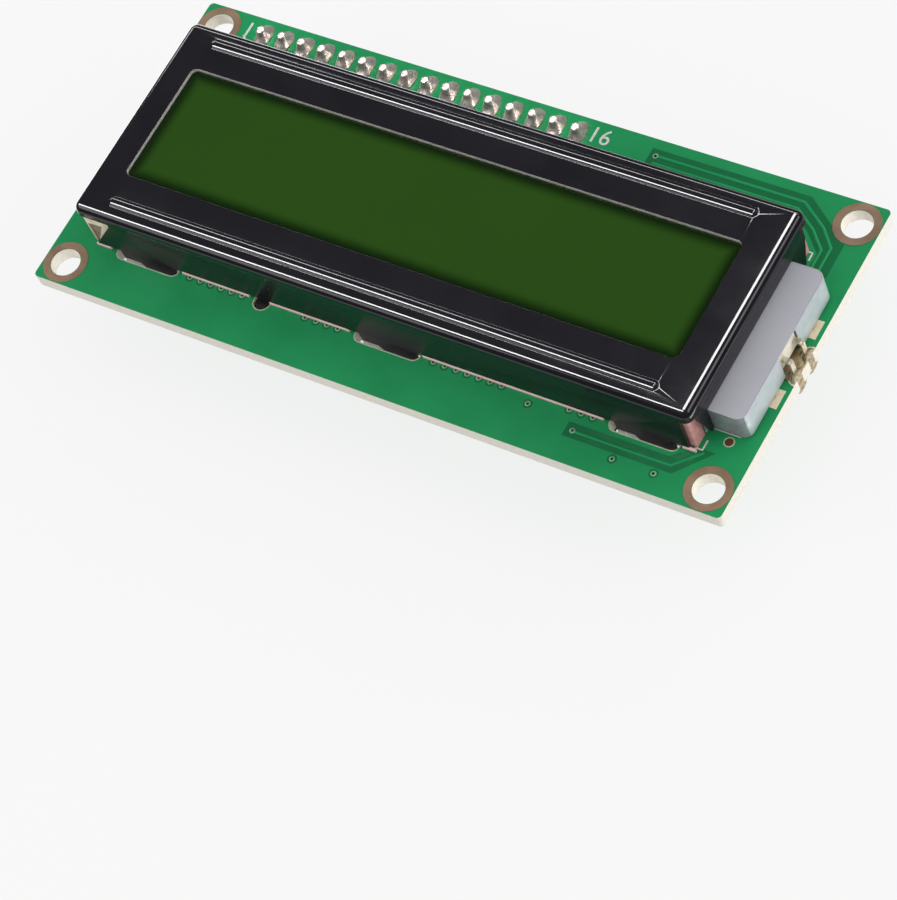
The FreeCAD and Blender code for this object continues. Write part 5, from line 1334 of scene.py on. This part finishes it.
# %% Lines printed on the adapter board
ax0, ay0 = adapter_low.x / MM, adapter_low.y / MM
ax1, ay1 = adapter_high.x / MM, adapter_high.y / MM
row_y = ROW_Y / MM


def part_box(node):
    low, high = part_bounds(node)
    return [v / MM for v in low], [v / MM for v in high]


adapter_print = [
    rectangle(ax0 + 1.0, row_y - 1.3, ax1 - 0.2, row_y + 1.0),
    [(ax0 + 3.5, row_y - 1.3), (ax0 + 3.5, row_y + 1.0)],
    [(ax0 + 0.1, ay0 + 0.1), (ax0 + 0.1, ay1 - 0.1)],
]
small_parts = []
for node in ("adapter_resistor", "capacitor", "power_light"):
    small_parts += merged_boxes(node + "_ends", len(loose_boxes(node + "_ends")) // 2)
for (x0, y0, _), (x1, y1, _) in small_parts:
    reach_x, reach_y = (1.2, 0.3) if x1 - x0 > y1 - y0 else (0.3, 1.2)
    adapter_print += bracket_pair(([x0 - reach_x, y0 - reach_y, 0], [x1 + reach_x, y1 + reach_y, 0]),
                                  0.3, 0.1)
low, high = part_box("trimmer_body")
adapter_print.append(rectangle(low[0] - 0.15, low[1] - 0.6, high[0] + 0.9, high[1] - 0.55))
low, high = part_box("expander_chip")
adapter_print += [[(low[0] + 0.1, low[1] - 0.3), (low[0] + 3.3, low[1] - 0.3)],
                  [(high[0] - 2.8, low[1] - 0.3), (high[0] - 0.1, low[1] - 0.3)]]
low, high = part_box("bus_header_block")
adapter_print.append([(ax0 + 0.1, low[1] - 0.3), (high[0] + 0.35, low[1] - 0.3),
                      (high[0] + 0.35, high[1] + 0.3), (ax0 + 0.1, high[1] + 0.3)])
low, high = part_box("jumper_header_block")
adapter_print.append([(ax1 - 0.1, low[1] - 0.35), (low[0] - 0.35, low[1] - 0.35),
                      (low[0] - 0.35, high[1] + 0.35), (low[0] + 0.4, high[1] + 0.35)])
low, high = part_box("transistor_leads")
adapter_print += [[(x + away, high[1] - 1.2), (x + away, high[1] - 0.2), (x - 6 * away, high[1] - 0.2)]
                  for x, away in ((low[0], -0.1), (high[0], 0.1))]
print_lines("adapter_print", adapter_print, ADAPTER_FACE)
print("print on the adapter", len(adapter_print), "lines")

# %% [markdown]
# The bus header's pins are numbered from its own box. Each resistor carries its code on top, along
# its long side, so the upright ones are turned.

# %% Numbers printed on the adapter board
BUS_PINS = 4
low, high = part_box("bus_header_block")
bus_step = (high[1] - low[1]) / BUS_PINS
bus_numbers = [(str(k + 1), high[0] + 1.5, high[1] - (k + 0.5) * bus_step) for k in range(BUS_PINS)]
numbers("adapter_bus_numbers", bus_numbers, ADAPTER_FACE, 1.7, GREY_PRINT)
numbers("adapter_numbers", (("0", -20.9, -0.35), ("1", -23.0, -0.35), ("2", -25.1, -0.35),
                            ("1", 6.0, 13.3), ("10", -30.4, 0.4), ("5", 4.2, 2.7)),
        ADAPTER_FACE, 1.6, WHITE_PRINT)
resistor_numbers, upright = [], []
for (x0, y0, _), (x1, y1, _) in small_parts[:7]:
    middle = ((x0 + x1) / 2, (y0 + y1) / 2)
    if x1 - x0 > y1 - y0:
        resistor_numbers.append(("103", *middle))
    else:
        upright.append(("472", *middle))
resistor_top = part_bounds("adapter_resistor_bodies")[0].z
numbers("resistor_numbers", resistor_numbers, resistor_top, 0.62, WHITE_PRINT, rise=0.008)
numbers("upright_resistor_numbers", upright, resistor_top, 0.62, WHITE_PRINT,
        turned=math.pi / 2, rise=0.008)
print("numbered resistors", len(resistor_numbers), "flat,", len(upright), "upright")

# %% [markdown]
# The edge lamp. Its two leads bend down to half-round pads on the board's edge, where solder runs
# over them, and a drop of amber resin lies around their foot.

# %% Joints and resin of the edge lamp
LEAD_YS = [c[1] for c in centres("backlight_leads")]
BOARD_RIGHT = board_high.x / MM
EDGE_BLOB = ((0.52, 0.86, 0.0, 2.2), (0.5, 0.8, 0.16, 2.2), (0.42, 0.6, 0.38, 2, -0.05, 0),
             (0.28, 0.4, 0.56, 2, -0.08, 0), (0.12, 0.16, 0.64, 2, -0.08, 0))
RESIN_DROP = ((1.0, 1.95, 0.0, 2.4), (0.97, 1.85, 0.16, 2.3), (0.82, 1.5, 0.36, 2.1),
              (0.55, 1.0, 0.5, 2), (0.2, 0.4, 0.56, 2))
blob_spots = [(BOARD_RIGHT - 0.56, y, FRONT / MM) for y in LEAD_YS]
stamps("lamp_joints", blob_spots, loft("lamp_joint", EDGE_BLOB, 24), LAMP_SOLDER, spread=0.08)
resin_spot = [(BOARD_RIGHT - 1.08, sum(LEAD_YS) / len(LEAD_YS), FRONT / MM)]
stamps("lamp_resin", resin_spot, loft("resin_drop", RESIN_DROP, 32), LAMP_RESIN)
print("lamp joints at y", [round(y, 2) for y in LEAD_YS])

# %% [markdown]
# The film on the light guide ends in a pale cut edge with round corners, open where the lamp sits.
# The rubber strip shows as a pink line where it bulges under the foot of the bezel's front wall,
# between the tongues. The line is paler pink than the strip, partly as a painted highlight.

# %% Cut edge of the film, and the pink line
film_low, film_high = part_box("light_guide_film")
FILM_CORNER = 1.0
CORNER_STEPS = 6
EDGE_INSET = 0.04
film_edge = [(film_low[0] + 0.5, film_low[1] + EDGE_INSET)]
for k in range(CORNER_STEPS + 1):
    t = math.pi / 2 * k / CORNER_STEPS
    film_edge.append((film_high[0] - FILM_CORNER + FILM_CORNER * math.sin(t) - EDGE_INSET,
                      film_low[1] + FILM_CORNER - FILM_CORNER * math.cos(t) + EDGE_INSET))
film_upper = [(x, film_low[1] + film_high[1] - y) for x, y in reversed(film_edge)]
lamp_gap = (min(LEAD_YS) - 0.5, max(LEAD_YS) + 0.5)
ribbons("film_edges", [film_edge + [(film_high[0] - EDGE_INSET, lamp_gap[0])],
                       [(film_high[0] - EDGE_INSET, lamp_gap[1])] + film_upper],
        film_high[2] * MM, 0.1, 0.012, FILM_EDGE)

bezel_low, bezel_high = part_box("bezel")
bezel_front = bezel_low[1]
PINK_RUNS = ((-35.3, -33.5), (-24.6, -16.4), (-13.9, -4.4), (4.2, 24.6), (33.2, 34.6))
bulges = [[(x, bezel_front + 0.12, 0.2) for x in run] for run in PINK_RUNS]
# The pink line's pale colour is partly a painted highlight.
ribbons("strip_bulge", bulges, FRONT, 0.24, 0.22, BULGE_PINK_AND_HIGHLIGHT)
print("film edge points", len(film_edge), "pink runs", len(PINK_RUNS))

# %% [markdown]
# At the front left the bezel's corner is open, because the front wall is cut back there. The left
# wall's bright sheared edge and a pale moulded corner behind it show through the opening. Their pale
# strips are cream with painted highlight, and the brown plate behind them is painted shade.

# %% Front left corner opening
def standing_plates(name, outlines, front_y, thickness, material):
    """Upright plates that face the front, from outlines of (x, z) in millimetres."""
    return plates(name, outlines, lambda x, z: mm(x, front_y, z), mm(0, thickness, 0), material)


wall_x, wall_y = bezel_low[0] + 0.35, bezel_front + 0.42
OPEN_TOP, OPEN_WIDTH, OPEN_FOOT = 5.1, 4.2, 0.15
# Painted shade: a brown plate where the inside of the corner lies in shadow.
standing_plates("corner_back", [[(wall_x, OPEN_FOOT), (wall_x + 0.9, OPEN_FOOT),
                                 (wall_x + OPEN_WIDTH, OPEN_TOP), (wall_x, OPEN_TOP)]],
                wall_y + 0.2, 0.1, CORNER_SHADE)
# Pale strips for the wall's edge and the moulded corner, cream with painted highlight.
standing_plates("corner_edges", [
    rectangle(wall_x - 0.1, OPEN_FOOT, wall_x + 0.06, OPEN_TOP)[:4],
    [(wall_x + 0.06, OPEN_TOP - 1.9), (wall_x + OPEN_WIDTH - 1.2, OPEN_TOP - 1.5),
     (wall_x + OPEN_WIDTH - 0.9, OPEN_TOP - 0.8), (wall_x + 0.06, OPEN_TOP - 0.8)],
    [(wall_x + 0.3, OPEN_FOOT), (wall_x + 1.0, OPEN_FOOT), (wall_x + 2.9, OPEN_TOP - 1.6),
     (wall_x + 1.9, OPEN_TOP - 1.7)]],
    wall_y + 0.05, 0.12, CORNER_PALE_AND_HIGHLIGHT)
print("corner opening behind y", round(wall_y, 2))

# %% [markdown]
# The lacquer stops a hair short of every milled slot, which leaves a pale line of bare laminate
# round it. In the slots a pale painted highlight lies on the tongues' necks, for light from below
# seen through the slot, and a dark peg fills the locating hole.

# %% Slots and peg
def oblong_path(x, y, length, width, steps=6):
    """Closed path round a slot with half-round ends."""
    reach, radius = (length - width) / 2, width / 2
    path = []
    for side, start in ((1, -0.5), (-1, 0.5)):
        path += [(x + side * reach + radius * math.cos(math.pi * (start + k / steps)),
                  y + radius * math.sin(math.pi * (start + k / steps))) for k in range(steps + 1)]
    return path + path[:1]


SLOT_LENGTH, SLOT_WIDTH = 7.6, 1.45
SLOT_YS = (bezel_front + 0.125, bezel_high[1] - 0.125)
HOLE_X, HOLE_R = -14.9, 0.9
PAD_X, PAD_Y = 37.0, -10.35
tongue_xs = [-29.0, 0.0, 29.0]
slot_rims = [oblong_path(x, y, SLOT_LENGTH + 0.1, SLOT_WIDTH + 0.1)
             for x in tongue_xs for y in SLOT_YS]
ribbons("slot_rims", slot_rims, FRONT, 0.12, PRINT_RISE, BARE_LAMINATE)
hole_rims = [ring(HOLE_X, bezel_front, HOLE_R + 0.05), ring(PAD_X, PAD_Y, 0.5, 16)]
ribbons("hole_rims", hole_rims, FRONT, 0.12, PRINT_RISE, BARE_LAMINATE)
PEG = ((0.8, 0.8, 0.0, 2), (0.86, 0.86, 0.08, 2), (0.86, 0.86, 1.26, 2), (0.8, 0.8, 1.34, 2))
DISC = ((0.44, 0.44, 0.0, 2), (0.42, 0.42, 0.02, 2))
stamps("hole_peg", [(HOLE_X, bezel_front, BACK / MM + 0.12)], loft("peg", PEG, 24),
       DARK_MOULDING)
stamps("small_pad", [(PAD_X, PAD_Y, FRONT / MM)], loft("disc", DISC, 16), PAD_COPPER)
# Painted highlight: pale plates on the necks' front faces, for light from below seen through the slots.
standing_plates("rubbed_necks", [[(x - 3.15, -1.7), (x - 0.5, -1.7), (x - 1.2, -0.7), (x - 3.15, -0.7)]
                                 for x in tongue_xs], bezel_front - 0.03, 0.03, PAINTED_SLOT_HIGHLIGHT)
print("slot rims", len(slot_rims), "round rims", len(hole_rims))

# %% [markdown]
# The trimmer's face has short scale marks moulded round the rotor, a small bright dot and the
# numbers of its outer legs. It is the module's lowest face, so it is laid a few hundredths of a
# millimetre further in, which leaves the raised marks their room inside the frame's box.

# %% Trimmer face
MARK_ROOM = 0.03
TICK_COUNT = 12
TICK_FIRST, TICK_STEP = -42, 22.5
TICK_START, TICK_SHORT, TICK_LONG = 1.75, 2.15, 2.5
DOT = ((0.24, 0.24, 0.0, 2), (0.2, 0.2, 0.02, 2), (0.1, 0.1, 0.03, 2))
rotor_low, rotor_high = part_box("trimmer_rotor")
rotor_x, rotor_y = [(rotor_low[k] + rotor_high[k]) / 2 for k in (0, 1)]
ticks = []
for k in range(TICK_COUNT):
    turn = math.radians(TICK_FIRST + TICK_STEP * k)
    far = TICK_LONG if k % 4 == 2 else TICK_SHORT
    ticks.append([(rotor_x - r * math.cos(turn), rotor_y + r * math.sin(turn))
                  for r in (TICK_START, far)])
face_level = (part_box("trimmer_body")[0][2] + MARK_ROOM) * MM
for vertex in made["trimmer_body"].data.vertices:
    vertex.co.z = max(vertex.co.z, face_level)
ribbons("trimmer_ticks", ticks, face_level, 0.11, 0.012, TICK_BLUE)
numbers("trimmer_numbers", (("1", rotor_x + 2.9, rotor_y - 2.1), ("3", rotor_x - 2.9, rotor_y - 2.3)),
        face_level, 0.9, TICK_BLUE, rise=0.006)
stamps("trimmer_dot", [(rotor_x + 2.35, rotor_y - 1.32, face_level / MM)], loft("dot", DOT, 16),
       SOLDER, back=True)
print("ticks", len(ticks))

# %% [markdown]
# The floor is a pale sheet just under the lowest point. The camera sees it partly as plain white,
# so that it joins the white background, and the rest of it keeps the module's soft shadow.

# %% Floor
FLOOR_HALF = 1.5
FLOOR_GLOW = 0.8


def mix_shaders(tree, factor, first, second):
    """First shader where the factor is 0 and second where it is 1."""
    node = add_node(tree, "ShaderNodeMixShader")
    for socket, value in zip(node.inputs, (factor, first, second)):
        tree.links.new(value, socket)
    return node.outputs[0]


def make_floor():
    low = cad_box[0].z - 0.02 * MM
    mesh = bpy.data.meshes.new("floor")
    corners = [(x * FLOOR_HALF, y * FLOOR_HALF, low) for x, y in ((-1, -1), (1, -1), (1, 1), (-1, 1))]
    mesh.from_pydata(corners, [], [(0, 1, 2, 3)])
    floor = link_piece("floor", mesh)
    material = make_finish("floor_paper", (236, 236, 236), (232, 232, 233), 0.8, patch=60, grain=3)
    mesh.materials.append(material)
    tree = material.node_tree
    rays = add_node(tree, "ShaderNodeLightPath").outputs
    glow = add_node(tree, "ShaderNodeEmission").outputs[0]
    seen = maths(tree, "MAXIMUM", rays["Is Camera Ray"], rays["Is Transmission Ray"])
    share = maths(tree, "MULTIPLY", seen, FLOOR_GLOW)
    lit = mix_shaders(tree, share, tree.nodes["Principled BSDF"].outputs[0], glow)
    behind = add_node(tree, "ShaderNodeNewGeometry").outputs["Backfacing"]
    clear = add_node(tree, "ShaderNodeBsdfTransparent").outputs[0]
    sided = mix_shaders(tree, behind, lit, clear)
    tree.links.new(sided, tree.nodes["Material Output"].inputs["Surface"])
    floor.visible_diffuse = floor.visible_glossy = floor.visible_shadow = False
    return floor


print("floor at mm", round(make_floor().data.vertices[0].co.z / MM, 2))

# %% Finish
bpy.context.scene.view_settings.view_transform = "Standard"
